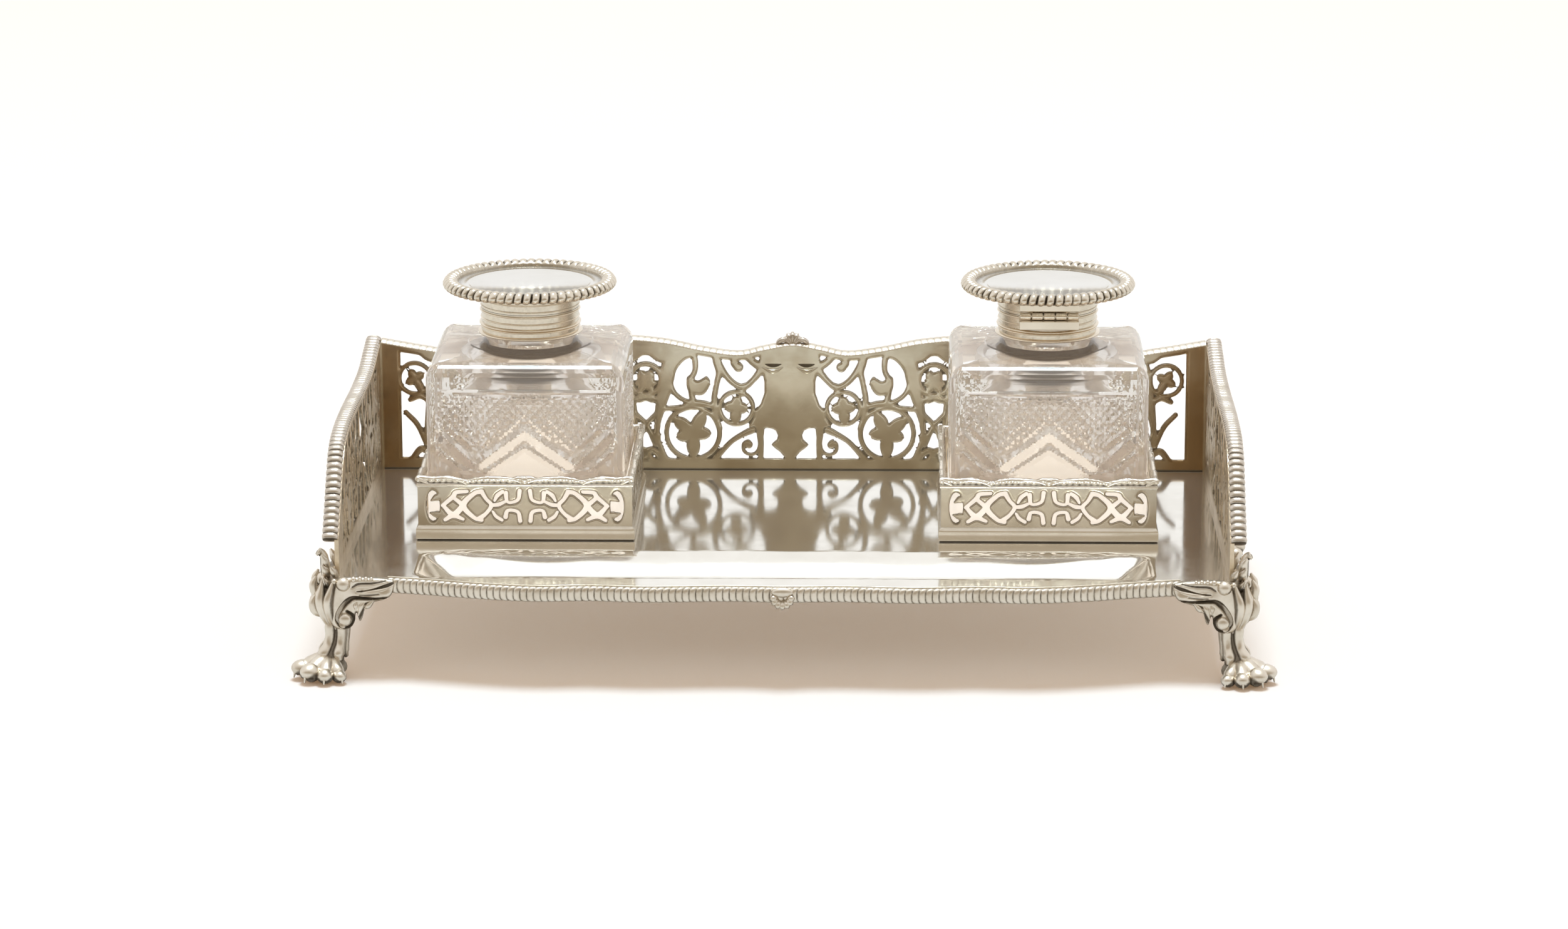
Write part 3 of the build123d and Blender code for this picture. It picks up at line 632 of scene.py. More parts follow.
# A leaf plate that starts inside the collar's round and ends past the pin, and its own knuckles.
def hingeShells(centre, side, leaf, which):
    near, far = centre[1] + side * hinge["leafNear"], centre[1] + side * (hinge["reach"] + hinge["leafPast"])
    start, end = centre[0] - hinge["length"] / 2, centre[0] + hinge["length"] / 2
    shells = [blockShell((start, min(near, far), leaf[0]), (end, max(near, far), leaf[1]))]
    step = hinge["length"] / hinge["knuckles"]
    for number in which:
        shells.append(barrelShell(start + number * step + hinge["gap"] / 2,
                                  start + (number + 1) * step - hinge["gap"] / 2,
                                  centre[1] + side * hinge["reach"]))
    return shells


for name, sign, side in (("left", -1, 1), ("right", 1, -1)):
    centre = (sign * bottleX, bottleY)
    collarHinge = hingeShells(centre, side, hinge["collarLeaf"], (0, 2, 4))
    lidHinge = hingeShells(centre, side, hinge["lidLeaf"], (1, 3))
    for piece, shells, body, slot, material, node, sharp in (
            ("cut_bottle", [bottleShell(centre)], "inkwell", "crystal", cutCrystal, "bottle", 14),
            ("turned_collar", [collarShell(centre)], "inkwell", "collar_silver", collarSilver, "collar", 40),
            ("hinge_leaf", collarHinge, "inkwell", "collar_silver", collarSilver, "collar_hinge", 40),
            ("lid_ring", [capShell(centre)], "lid", "lid_silver", collarSilver, "lid_cap", 40),
            ("dish", [dishShell(centre)], "lid", "lid_silver", dishSilver, "lid_dish", 40),
            ("gadroon_rim", [rimShell(centre, 0.6 * sign)], "lid", "lid_silver", lidSilver, "lid_rim", 40),
            ("lid_leaf", lidHinge, "lid", "lid_silver", collarSilver, "lid_hinge", 40)):
        putPiece(f"{name}_{piece}", shells, f"{name}_{body}", slot, material, f"{name}_{node}", sharp)
    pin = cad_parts[f"{name}_hinge_pin"].data
    pin.materials.clear()
    pin.materials.append(collarSilver)
print("inkwells made")

foot = {
    "toes": ((-28, 8.6, 2.2), (3, 8.8, 2.6), (37, 9.2, 3.1), (73, 9.2, 3.05), (108, 8.4, 2.4)),
    "rods": ((-36, 1.7), (45, 1.75), (126, 1.7), (198, 1.5), (252, 1.5)),
    "paw": 3.2, "shaftTop": 0.8, "shaftLow": 2.2, "ball": (-2.2, 18.9), "plate": 3.5, "plateThick": 3.2,
    "faceStep": 0.22, "sideLimit": 14.99,
}
# the outline of the knee's face, as distances from the ball's middle
kneeOutline = ((-14.9, 12.4), (-11.0, 12.9), (-4.3, 13.2), (-1.0, 13.1), (1.3, 12.7), (2.8, 11.5), (3.6, 9.6),
               (4.3, 7.4), (4.75, 4.5), (4.8, 1.6), (4.4, -1.0), (3.35, -2.7), (1.8, -3.45), (-0.1, -3.4),
               (-1.8, -2.5), (-2.8, -0.8), (-3.0, 1.0), (-3.5, 2.2), (-4.3, -0.6), (-5.1, 0.2), (-6.0, 3.2),
               (-7.4, 4.6), (-9.1, 5.4), (-11.6, 6.1), (-13.5, 7.0), (-14.6, 8.5), (-15.3, 10.8))
# its grooves, each with half widths and depth
kneeGrooves = (
    (((-13.0, 6.9), (-9.1, 6.7), (-3.2, 6.9), (-1.0, 5.9), (1.0, 3.7), (2.2, 1.6), (2.45, -0.1), (1.5, -1.85),
      (-0.1, -2.5), (-1.8, -1.7), (-2.6, 0.0), (-2.15, 1.5), (-0.6, 2.6)),
     (0.25, 0.3, 0.5, 0.75, 0.65, 0.5, 0.42, 0.4, 0.38, 0.36, 0.36, 0.4, 0.3), 1.4),
    (((-14.5, 11.4), (-12.2, 10.5), (-9.6, 9.6), (-6.8, 9.1), (-3.8, 8.9)), (0.4, 0.5, 0.4, 0.25, 0.12), 0.9),
    (((-12.6, 12.2), (-8.4, 11.5), (-4.4, 11.3), (-2.4, 10.2)), (0.12, 0.28, 0.3, 0.2), 0.6),
    (((-5.6, 3.9), (-4.7, 1.8), (-4.45, 0.2)), (0.2, 0.55, 0.15), 0.9),
    (((-10.6, 8.3), (-7.6, 7.9), (-4.6, 7.9)), (0.1, 0.2, 0.1), 0.35),
    (((-8.0, 5.6), (-6.4, 5.0), (-5.2, 4.4)), (0.1, 0.28, 0.1), 0.5),
)


# A limb: a round bar along a curve, with a radius at every given point, pressed flat by squash
# along its normal. Its sides and back are painted darker than its front, as shade.
def limb(points, radii, normal=front, squash=1.0, sides=12, steps=6, dark=0.0, side=0.8, groove=0.0):
    path = curveThrough(points, steps)
    radii = np.broadcast_to(np.asarray(radii, float), (len(points),))
    radius = np.maximum(curveThrough(radii[:, None], steps), 0.05)
    tangent = alongPath(path)
    normal = np.asarray(normal, float)
    up = normal - tangent * (tangent @ normal)[:, None]
    up /= np.linalg.norm(up, axis=1, keepdims=True)
    across = np.cross(tangent, up)
    angle = roundAngles(sides)
    sunk = groove * np.maximum(np.sin(angle), 0) ** 6
    shade = dark + side * (1 - np.maximum(np.sin(angle), 0) ** 0.5) + 0.8 * (sunk > 0.3 * max(groove, 0.01))
    return carried(path, across, up, radius * np.cos(angle), radius * squash * (np.sin(angle) - sunk),
                   np.clip(shade * np.ones_like(radius), 0, 1))


# Distance to one stem: to a chain of short lines, less the half width at the nearest place.
def stemDistance(a, h, points, halves):
    line = curveThrough(points, 5)
    half = np.interp(np.linspace(0, 1, len(line)), np.linspace(0, 1, len(halves)), halves)
    away = np.full(a.shape, 9.0)
    near = ((a > line[:, 0].min() - 4) & (a < line[:, 0].max() + 4)
            & (h > line[:, 1].min() - 4) & (h < line[:, 1].max() + 4))
    x, y = a[near], h[near]
    best = np.full(x.shape, 9.0)
    for start, end, w0, w1 in zip(line[:-1], line[1:], half[:-1], half[1:]):
        gap, share = lineDistance(x, y, start, end)
        best = np.minimum(best, gap - (w0 + (w1 - w0) * share))
    away[near] = best
    return away


# Distance to a closed outline, below 0 inside it: a place is inside where the outline crosses the
# line from it to the right an odd number of times.
def outlineDistance(x, y, outline):
    loop = curveThrough(list(outline) + [outline[0]], 5)
    away = np.full(x.shape, 1e3)
    inside = np.zeros(x.shape, bool)
    for start, end in zip(loop[:-1], loop[1:]):
        away = np.minimum(away, lineDistance(x, y, start, end)[0])
        rise = end[1] - start[1]
        crossing = start[0] + (y - start[1]) * (end[0] - start[0]) / (rise if rise else 1e-12)
        inside ^= ((start[1] > y) != (end[1] > y)) & (x < crossing)
    return np.where(inside, -away, away)


# A pierced sheet from a grid of places and their distance to the metal's edge. Cells with a corner
# in the metal are kept, and their corners outside it move down the distance's slope onto the edge.
# The face is domed towards its edges and raised by lift, and walls join front and back.
def piercedShell(x, h, away, place, thick, rim, dome, lift=0.0, dark=0.0):
    slopeX = np.gradient(away, axis=1) / np.gradient(x, axis=1)
    slopeH = (np.gradient(away, axis=0) - slopeX * np.gradient(x, axis=0)) / np.gradient(h, axis=0)
    size = np.maximum(slopeX ** 2 + slopeH ** 2, 0.3)
    inside = away < 0
    cells = inside[:-1, :-1] | inside[1:, :-1] | inside[:-1, 1:] | inside[1:, 1:]
    move = np.where(inside, 0, np.clip(away, 0, 1))
    x, h = x - move * slopeX / size, h - move * slopeH / size
    index = np.arange(away.size).reshape(away.shape)
    here, beside = index[:, :-1], index[:, 1:]
    quads = np.stack([part[cells] for part in (here[:-1], beside[:-1], beside[1:], here[1:])], -1)
    used, flat = np.unique(quads, return_inverse=True)
    quads = flat.reshape(-1, 4)
    deep = np.clip(-away.reshape(-1)[used], 0, dome) / dome
    half = thick / 2 - rim * (1 - np.sqrt(1 - (1 - deep) ** 2))
    lift, dark, x, h = ((part + 0 * away).reshape(-1)[used] for part in (lift, dark, x, h))
    faces = [place(x, h, -half - lift), place(x, h, half)]
    edges = np.stack([quads, np.roll(quads, -1, 1)], -1).reshape(-1, 2)
    keys = edges.min(1) * len(used) + edges.max(1)
    first, counts = np.unique(keys, return_index=True, return_counts=True)[1:]
    near, far = edges[first[counts == 1]].T
    walls = np.column_stack([far, near, near + len(used), far + len(used)])
    allQuads = np.concatenate([quads, quads[:, ::-1] + len(used), walls])
    points = np.concatenate(faces)
    if volumeOf(points - points.mean(0), allQuads) < 0:
        allQuads = allQuads[:, ::-1]
    # the metal is painted darker close to its cut edges, as shade
    shade = 0.75 * np.exp(-((deep * dome) / 0.28) ** 2)
    return points, allQuads, np.clip(np.concatenate([shade + dark, shade]), 0, 1)


# Everything of a foot is worked out from the tray's corner: u goes out to the side, v out to the
# front and z up. Parts on the flank are those of the front with u and v exchanged.
def corner(points):
    p = np.asarray(points, float)
    return np.stack([halfWidth + p[..., 0], cornerY - p[..., 1], p[..., 2]], -1)


def exchanged(part):
    points, quads, dark = part
    u = points[:, 0] - halfWidth
    v = cornerY - points[:, 1]
    return np.column_stack([halfWidth + v, cornerY - u, points[:, 2]]), quads[:, ::-1], dark


def pawShells():
    shells = []
    paw = foot["paw"]
    for degrees, reach, size in foot["toes"]:
        a = math.radians(degrees)
        out = np.array([math.sin(a), math.cos(a)])
        toe = ((0.4, 5.6), (2.8, 5.3), (4.9, 4.6), (6.6, 3.9), (reach - 1.3, size + 0.4),
               (reach + 0.6, size + 0.1), (reach + 1.5, size * 0.7))
        claw = ((reach - 0.2, size + 1.0), (reach + 1.2, size + 0.5), (reach + 1.9, 0.8))
        toe, claw = (corner([(paw + out[0] * r, paw + out[1] * r, z) for r, z in run]) for run in (toe, claw))
        radii = np.array((0.8, 1.0, 0.98, 0.92, 1.02, 0.9, 0.35)) * size
        shells.append(limb(toe, radii, upwards, 0.95, 16, side=0.95))
        shells.append(limb(claw, (0.7, 0.6, 0.2), upwards, 1.0, 8, 4, side=0.6))
    # the pad under the toes is painted dark, as shade between them
    shells.append(ball(corner((paw + 0.1, paw + 0.1, 3.4)), (5.6, 5.6, 3.3), 24, 0.7))
    return shells


# The shaft is a bundle of rods that spreads into the paw, round a core painted dark, as the shade between
# them.
def shaftShells():
    top, low = foot["shaftTop"], foot["shaftLow"]
    shells = [limb(corner([(0.8, 0.8, 19), (0.8, 0.8, 14), (1.4, 1.4, 10), (2.8, 2.8, 5)]),
                   (3.0, 2.7, 2.9, 4.2), front, 1.0, 16, 5, 0.9, 0.1)]
    for degrees, radius in foot["rods"]:
        a = math.radians(degrees)
        out = np.array([math.sin(a), math.cos(a)])
        run = ((top, 2.2, 19.0), (top, 2.65, 16.4), (top, 2.6, 13.4), (1.3, 2.8, 10.4), (low, 3.5, 7.8),
               (low, 4.4, 6.0))
        rod = [(m + out[0] * r, m + out[1] * r, z) for m, r, z in run]
        shells.append(limb(corner(rod), (0.9, radius, radius * 0.97, radius * 0.95, radius * 1.1, 0.6),
                           (out[0], -out[1], 0), sides=16, side=0.95))
    return shells


# The knee's face: a cast plate in the shape of its leaf arm and scroll. Its height is a dome over
# the ball, less a groove that deepens towards the middle line of each cut.
def kneeFace():
    x = np.arange(-16.0, 5.6, foot["faceStep"])[None, :]
    h = np.arange(-4.4, 13.8, foot["faceStep"])[:, None]
    x, h = x + 0 * h, h + 0 * x
    away = outlineDistance(x, h, kneeOutline)
    lift = 1.5 * np.sqrt(np.clip(1 - (x ** 2 + h ** 2) / 2.15 ** 2, 0, 1))
    lift = lift + 0.5 * np.exp(-((h - 8.0) / 1.4) ** 2) * np.clip(-x / 6, 0, 1)
    dark = np.zeros(x.shape)
    for points, halves, deep in kneeGrooves:
        inGroove = np.clip(0.5 - stemDistance(x, h, points, halves) / 0.5, 0, 1.6) / 1.6
        lift = lift - deep * np.minimum(inGroove * 1.3, 1)
        dark = np.maximum(dark, np.minimum(inGroove * 2.8, 1))
    ballU, ballZ = foot["ball"]

    def place(px, ph, t):
        return corner(np.column_stack([ballU + px, foot["plate"] - t, ballZ + ph]))

    return piercedShell(x, h, away, place, foot["plateThick"], 1.1, 1.5, lift, dark)


def kneeShells():
    ballU, ballZ = foot["ball"]
    shells = [kneeFace(), ball(corner((ballU + 0.3, 5.0, ballZ + 11.2)), (2.25, 2.2, 2.25), 24, 0.0)]
    for dx, dz, size in ((-2.8, 12.7, 0.9), (-4.8, 12.9, 0.75), (-6.6, 12.9, 0.7), (-8.3, 12.9, 0.6),
                         (3.1, 12.0, 0.9)):
        shells.append(ball(corner((ballU + dx, 4.7, ballZ + dz)), (size, size, size), 14, 0.1))
    for run, width in ((((-8.8, 6.2), (-7.2, 4.4), (-5.9, 3.4)), (0.4, 0.9, 0.2)),
                       (((-3.9, 6.0), (-3.3, 4.4), (-3.3, 2.8)), (0.4, 0.9, 0.3)),
                       (((-6.0, 5.6), (-5.0, 4.2), (-4.0, 1.2)), (0.4, 0.9, 0.2)),
                       (((-14.6, 10.4), (-11.4, 9.2), (-7.6, 8.6), (-3.4, 8.2)), (0.3, 0.8, 0.75, 0.4))):
        points = [(ballU + dx, 4.65, ballZ + dz) for dx, dz in run]
        shells.append(limb(corner(points), width))
    return shells


# The knee behind its faces, ribs down its corner, and the tall acanthus leaf of the flank: a midrib
# with lobes that turn up and out from it, to a curled tip against the gallery.
def bodyShells():
    # the knee behind the faces is painted darker, as shade
    shells = [limb(corner([(1.2, 1.2, 15.0), (0.7, 0.7, 19), (-0.2, -0.2, 25), (-1.0, -1.0, 30.6)]),
                   (2.4, 4.0, 4.6, 4.4), front, 1.0, 20, 6, 0.6, 0.1)]
    for lean in (-1, 0, 1):
        run = []
        for start, pull, spread, z in ((3.0, 0.6, 0.6, 16.4), (4.3, 0.75, 1.0, 20), (5.3, 0.9, 1.5, 25),
                                       (4.6, 1.5, 1.8, 30.5)):
            middle = start - pull * abs(lean)
            run.append((middle + lean * spread, middle - lean * spread, z))
        shells.append(limb(corner(run), (0.6, 1.35, 1.5, 0.5), (0.7, -0.7, 0), sides=14))
    for u, v, z, length in ((7.0, 2.6, 21.0, 5.4), (7.3, -0.6, 20.2, 6.2), (7.0, -4.2, 22.4, 5.6),
                            (6.9, 1.2, 26.4, 5.4), (6.7, -2.8, 27.4, 5.4)):
        run = [(u - 2.2, v - 0.6, z - 1.8), (u, v, z), (u + 0.7, v + 0.3, z + length * 0.5),
               (u - 0.2, v + 0.6, z + length)]
        shells.append(limb(corner(run), (0.6, 1.45, 1.35, 0.35), (0.9, -0.4, 0), side=0.55))
    leaf = [(2.8, 0.0, 24), (4.0, -1.0, 29), (4.4, -1.2, 34), (4.6, -0.8, 37.4), (5.6, 0.2, 39.0),
            (6.6, 0.6, 38.2)]
    shells.append(limb(corner(leaf), (1.6, 2.0, 1.9, 1.7, 1.3, 0.5), (1, -0.3, 0), 0.8, 16, 7,
                       side=0.45, groove=0.2))
    for u, v, z in ((3.6, 1.8, 29.6), (3.8, -3.8, 30.0), (3.8, 1.4, 33.4), (4.2, -4.0, 34.0),
                    (1.2, 2.0, 33.0), (2.0, -4.8, 36.4), (3.8, 1.6, 36.6)):
        side = 1 if v > 0 else -1
        run = [(u - 0.8, v - side * 1.6, z - 2.6), (u, v, z), (u + 1.0, v + side * 0.8, z + 2.0)]
        shells.append(limb(corner(run), (0.6, 1.3, 0.4), (1, -0.4, 0), 0.9, side=0.5))
    return shells


def footShells():
    knee = kneeShells()
    shells = pawShells() + shaftShells() + knee + [exchanged(part) for part in knee] + bodyShells()
    held = []
    for points, quads, dark in shells:
        points = np.column_stack([np.minimum(points[:, 0], halfWidth + foot["sideLimit"]), points[:, 1],
                                  np.maximum(points[:, 2], 0.0)])
        held.append((points, quads, dark))
    return held


footParts = footShells()
for where, signY in (("front", 1), ("rear", -1)):
    for side, signX in (("left", -1), ("right", 1)):
        turnedParts = [reflected(part, signX, signY) for part in footParts]
        putPiece(f"{where}_{side}_claw_foot", turnedParts, "tray", "cast_silver", castSilver,
                 f"{where}_{side}_foot", sharp=50)
print("feet made")


railShape = {"half": 2.55, "high": 1.45, "pitch": 2.2, "cut": 0.42, "slant": 0.0, "step": 0.27, "edge": 0.35}
backRailShape = {**railShape, "cut": 0.13}
border = {"half": 2.4, "high": 1.25, "pitch": 2.05, "cut": 0.33, "slant": 0.4, "step": 0.25, "edge": 0.0,
          "middle": 1.3, "below": 2.0, "end": 120.8}
backCurve = ((0, 43.2), (9, 41.7), (18, 39.9), (30, 41.4), (43, 44.0), (58, 45.0), (76, 43.2), (92, 40.4),
             (107, 39.3), (121, 41.2), (136, 43.8))
sideCurve = ((-63, 12.2), (-57, 19.0), (-50, 27.0), (-42, 34.6), (-30, 38.2), (-8, 39.2), (22, 38.8),
             (44, 39.6), (58, 42.2), (69.95, 44.4))
backLine = mirrored(backCurve)


# A path cut into even steps.
def evenly(path, step):
    run = np.concatenate([[0], np.cumsum(np.linalg.norm(np.diff(path, axis=0), axis=1))])
    along = np.linspace(0, run[-1], max(int(run[-1] / step), 2) + 1)
    return np.column_stack([np.interp(along, run, path[:, n]) for n in range(path.shape[1])]), along


# A gadrooned moulding: a squared oval section carried along a path, and cut by grooves. Its reach
# falls by the cut where |sin| of the distance along it, slanted round the section, comes to 0.
def gadrooned(path, across, up, shape):
    path, along = evenly(path, shape["step"])
    tangent = alongPath(path)
    across = np.broadcast_to(np.asarray(across, float), path.shape)
    across = across - tangent * np.sum(across * tangent, 1, keepdims=True)
    across = across / np.linalg.norm(across, axis=1, keepdims=True)
    upward = np.cross(tangent, across)
    upward = upward * np.sign(upward @ np.asarray(up, float))[:, None]
    angle = roundAngles(22)
    c, s = np.cos(angle), np.sin(angle)
    phase = along[:, None] / shape["pitch"] + shape["slant"] * s
    groove = 1 - np.abs(np.sin(math.pi * phase)) ** 0.5
    bead = 0.5 - 0.5 * np.cos(2 * math.pi * along[:, None] / shape["pitch"] * 2)
    showing = np.clip(s + 0.75, 0, 1)
    scale = 1 - shape["cut"] * groove * showing
    flat = 1 - shape["edge"] * np.exp(-((c + 0.78) / 0.16) ** 2) * (s > -0.2) * (1 - 0.5 * bead)
    sectionA = np.sign(c) * np.abs(c) ** 0.75 * shape["half"] * scale ** 0.5
    sectionB = np.sign(s) * np.abs(s) ** 0.75 * shape["high"] * scale * flat
    # the grooves are darkened, and the underside of the section is painted darker, as shade
    dark = np.clip(1.25 * groove * showing + 0.35 * (1 - showing), 0, 1)
    return carried(path, across, upward, sectionA, sectionB, dark)


def railPath(line, place):
    fine = curveThrough(sorted(line), 16)
    return np.array([place(d, trayTop + h - railShape["high"]) for d, h in fine])


# The back rail lies outside the back gallery, the side rails outside the side galleries, and the
# three meet in the rear corners.
def railShells():
    out = railShape["half"] + 0.05
    back = railPath(backLine, lambda d, z: (d, backY + out, z))
    shells = {"back": gadrooned(back, (0, 1, 0), upwards, backRailShape)}
    for side, sign in (("left", -1), ("right", 1)):
        path = railPath(sideCurve, lambda d, z: (sign * (halfWidth + out), d, z))
        path[:, 1] = np.clip(path[:, 1], None, backY + 4.9)
        path[:3, 2] += 0.3
        shells[side] = gadrooned(path, (sign, 0, 0), upwards, railShape)
    return shells


for side, part in railShells().items():
    material = paleRailSilver if side == "back" else railSilver
    putPiece(f"{side}_gadroon_rail", [part], "tray", "cast_silver", material, f"{side}_rail", sharp=60)


# The front border follows the serpentine edge, hangs a little below it and has slanting gadroons
# over a plain bead at its foot.
def borderShells():
    x = np.linspace(-border["end"], border["end"], 500)
    line = np.column_stack([x, cornerY - frontReach(x) - border["middle"],
                            np.full(len(x), trayTop - border["below"])])
    bead = evenly(line - [0, -0.25, 1.9], 0.6)[0][::3]
    lip = evenly(line + [0, 1.25, 2.3], 1.8)[0]
    return [gadrooned(line, upwards, front, border), limb(bead, 0.55, front, 1.0, 8, 3, 0.15, 0.6),
            limb(lip, 0.22, upwards, 1.0, 8, 2, side=0.4)]


putPiece("front_gadroon_border", borderShells(), "tray", "cast_silver", castSilver, "front_border", sharp=60)

fans = {
    "shell": {"middle": (0.0, 29.4), "reach": 4.3, "spread": 148, "ribs": 7, "width": 1.05},
    "crest": {"middle": (0.0, 73.6), "reach": 4.2, "spread": 100, "ribs": 5, "width": 1.0},
}


# A fan of ribs from one point, longest in the middle, their sides painted dark, as shade; where a fan is
# used, a ball painted darker, as shade, is set behind it.
def fanShells(fan, low, high, downward):
    x0, z0 = fan["middle"]
    shells = []
    for number in range(fan["ribs"]):
        share = number / (fan["ribs"] - 1) * 2 - 1
        a = math.radians(share * fan["spread"] / 2)
        reach = fan["reach"] * (1 - 0.12 * share ** 2)
        out = (math.sin(a), math.cos(a) * (-1 if downward else 1))
        run = ((0.0, low + 0.2), (reach * 0.35, low - 0.5), (reach * 0.75, high + 0.9), (reach, high + 1.0))
        rib = [(x0 + out[0] * r, y, z0 + out[1] * r) for r, y in run]
        shells.append(limb(rib, (0.35, 0.6, fan["width"], 0.35), steps=7, side=1.0))
    return shells


shellHigh = cornerY - frontReach(np.array([0.0]))[0] - border["middle"] * 2
shellParts = fanShells(fans["shell"], shellHigh + 1.6, shellHigh - 1.1, True)
shellParts.append(ball((0, shellHigh + 0.2, 30.4), (3.4, 1.3, 1.6), 24, 0.3))
putPiece("front_scallop_shell", shellParts, "tray", "cast_silver", castSilver, "front_shell")

crestParts = fanShells(fans["crest"], backY + 1.6, backY + 0.7, False)
crestParts.append(ball((0, backY + 2.2, 73.4), (5.4, 1.9, 1.0), 24, 0.4))
for sign in (-1, 1):
    wing = [(sign * x, backY + 1.4, z) for x, z in ((1.5, 74.4), (3.2, 75.2), (4.6, 74.5), (5.3, 73.6))]
    crestParts.append(limb(wing, (0.4, 0.8, 0.75, 0.2), side=0.9))
putPiece("back_rail_crest", crestParts, "tray", "cast_silver", railSilver, "back_crest")
print("rails and border made")


sheet = {"thick": 1.3, "band": 3.7, "stile": 6.5, "frontStile": 13.0, "underRail": 2.8, "step": 0.47,
         "rim": 0.32, "dome": 0.75, "shift": -0.9, "high": 45, "underTop": 1.2, "turnedAt": 95.2,
         "repeatAt": 76.0, "sideFront": -63.0, "flower": ((0, 19.5), 7.4, 0.65)}

# One run of the foliage, measured from the middle of the gallery and up from the tray: stems are
# lists of points with half widths, flowers a middle, ring radius, ring half width and petals.
stems = (
    (((23.2, 14.0), (24.6, 18.6), (25.0, 23.6), (24.3, 28.6), (23.4, 32.8), (24.1, 36.8), (24.8, 42.5)),
     (0.6, 0.9, 0.8, 0.7, 0.8, 1.1, 1.3)),
    (((24.8, 40.5), (23.6, 36.2), (21.0, 31.8), (18.0, 28.9), (15.0, 28.1), (12.2, 30.4), (9.6, 33.6)),
     (0.9, 1.0, 0.8, 0.75, 0.85, 0.75, 1.0)),
    (((15.0, 28.4), (15.4, 26.9), (16.2, 25.4)), (0.7, 0.6, 0.6)),
    (((9.2, 34.6), (12.2, 36.6), (14.8, 39.0), (17.4, 38.6), (18.3, 36.3), (17.0, 34.5)),
     (1.2, 1.0, 0.95, 1.0, 1.1, 0.9)),
    (((24.6, 21.2), (28.4, 22.3), (32.0, 22.4), (36.2, 21.0), (41.6, 20.6)), (0.6, 0.85, 0.95, 0.7, 0.6)),
    (((31.8, 21.8), (32.6, 26.4), (32.9, 30.0), (31.3, 33.6), (31.4, 37.6), (32.6, 41.0)),
     (0.85, 0.75, 0.7, 0.65, 0.8, 1.0)),
    (((33.0, 30.6), (31.9, 28.4), (29.9, 27.7), (28.0, 29.4), (27.6, 31.0)), (0.9, 1.9, 2.3, 1.5, 0.4)),
    (((31.8, 22.4), (35.3, 23.6), (38.0, 25.8), (39.8, 29.0)), (0.6, 0.55, 0.55, 0.8)),
    (((32.0, 39.6), (36.0, 38.8), (39.6, 35.2), (40.7, 31.0), (41.2, 27.4), (42.3, 23.8), (43.0, 20.2),
      (43.7, 16.6), (44.1, 13.0), (44.2, 10.6), (42.9, 7.6), (41.4, 3.0)),
     (1.2, 1.9, 2.4, 2.3, 2.0, 1.8, 1.4, 0.95, 0.8, 1.0, 0.7, 0.9)),
    (((38.0, 42.0), (42.0, 39.0), (46.0, 40.4), (52.0, 41.0)), (2.0, 2.6, 1.6, 1.2)),
    (((12.6, 13.4), (15.6, 11.9), (19.0, 9.8), (21.8, 7.0), (24.6, 3.8)), (1.0, 0.75, 0.6, 0.65, 0.9)),
    (((10.2, 12.4), (10.0, 8.6), (11.0, 5.9), (13.2, 5.0), (15.2, 6.3), (15.3, 8.6), (14.0, 9.4)),
     (0.7, 0.4, 0.35, 0.35, 0.35, 0.45, 0.6)),
    (((9.9, 14.6), (9.6, 11.0), (9.5, 7.6), (9.9, 2.6)), (1.3, 0.65, 0.6, 0.8)),
    (((44.6, 8.6), (47.4, 14.8), (51.2, 19.0)), (0.7, 0.65, 0.6)),
    (((41.5, 3.0), (46.0, 6.6), (49.4, 3.0)), (0.8, 0.9, 0.8)),
    (((43.0, 23.0), (46.2, 24.6), (49.6, 23.4)), (0.9, 0.7, 0.6)),
)
flowers = (
    ((32.1, 12.3), 8.8, 0.62, ((-15, 5.6), (40, 8.4), (117, 8.4), (181, 5.8), (269, 8.4)), 1.65),
    ((17.7, 20.9), 5.5, 0.52, ((94, 4.0), (180, 3.9), (12, 4.0), (-84, 5.3)), 1.35),
    ((47.9, 30.6), 5.2, 0.5, ((60, 3.4), (150, 3.4), (240, 5.0), (330, 3.4)), 1.0),
)
dots = (((13.6, 8.4), 1.05), ((16.9, 34.8), 1.35), ((41.6, 2.8), 1.6), ((44.2, 11.2), 1.3))
# the shield's half width at each height
shieldEdge = ((2.0, 1.6), (4.0, 1.7), (6.0, 3.3), (7.4, 5.1), (8.4, 6.1), (9.2, 5.5), (10.2, 4.3),
              (11.7, 4.0), (13.2, 4.6), (14.0, 6.0), (14.4, 9.6), (14.9, 13.8), (16.0, 13.0), (17.6, 12.1),
              (20.0, 11.6), (22.2, 9.7), (26.0, 8.4), (30.0, 8.4), (33.0, 9.2), (35.0, 10.0), (46.0, 10.0))


# Distance to a flower: the ring about it, a button, and petals as pointed ovals from the button.
def flowerDistance(a, h, middle, radius, half, petals, wide):
    x, y = a - middle[0], h - middle[1]
    away = np.abs(np.hypot(x, y) - radius) - half
    away = np.minimum(away, np.hypot(x, y) - wide * 1.15)
    for degrees, length in petals:
        turn = math.radians(degrees)
        along = x * math.cos(turn) + y * math.sin(turn)
        aside = np.abs(y * math.cos(turn) - x * math.sin(turn))
        share = np.clip(along / length, 0, 1)
        width = wide * np.sin(math.pi * np.clip(share * 0.9 + 0.06, 0, 1)) ** 0.7 * 1.25
        end = np.maximum(along - length, -along)
        away = np.minimum(away, np.where(end > 0, np.hypot(end, aside), aside - width))
    return away


# The lesser of two distances, rounded where they are nearly equal, so that joints get a fillet.
def joined(first, second, round=0.55):
    share = np.clip(0.5 + 0.5 * (second - first) / round, 0, 1)
    return second + (first - second) * share - round * share * (1 - share)


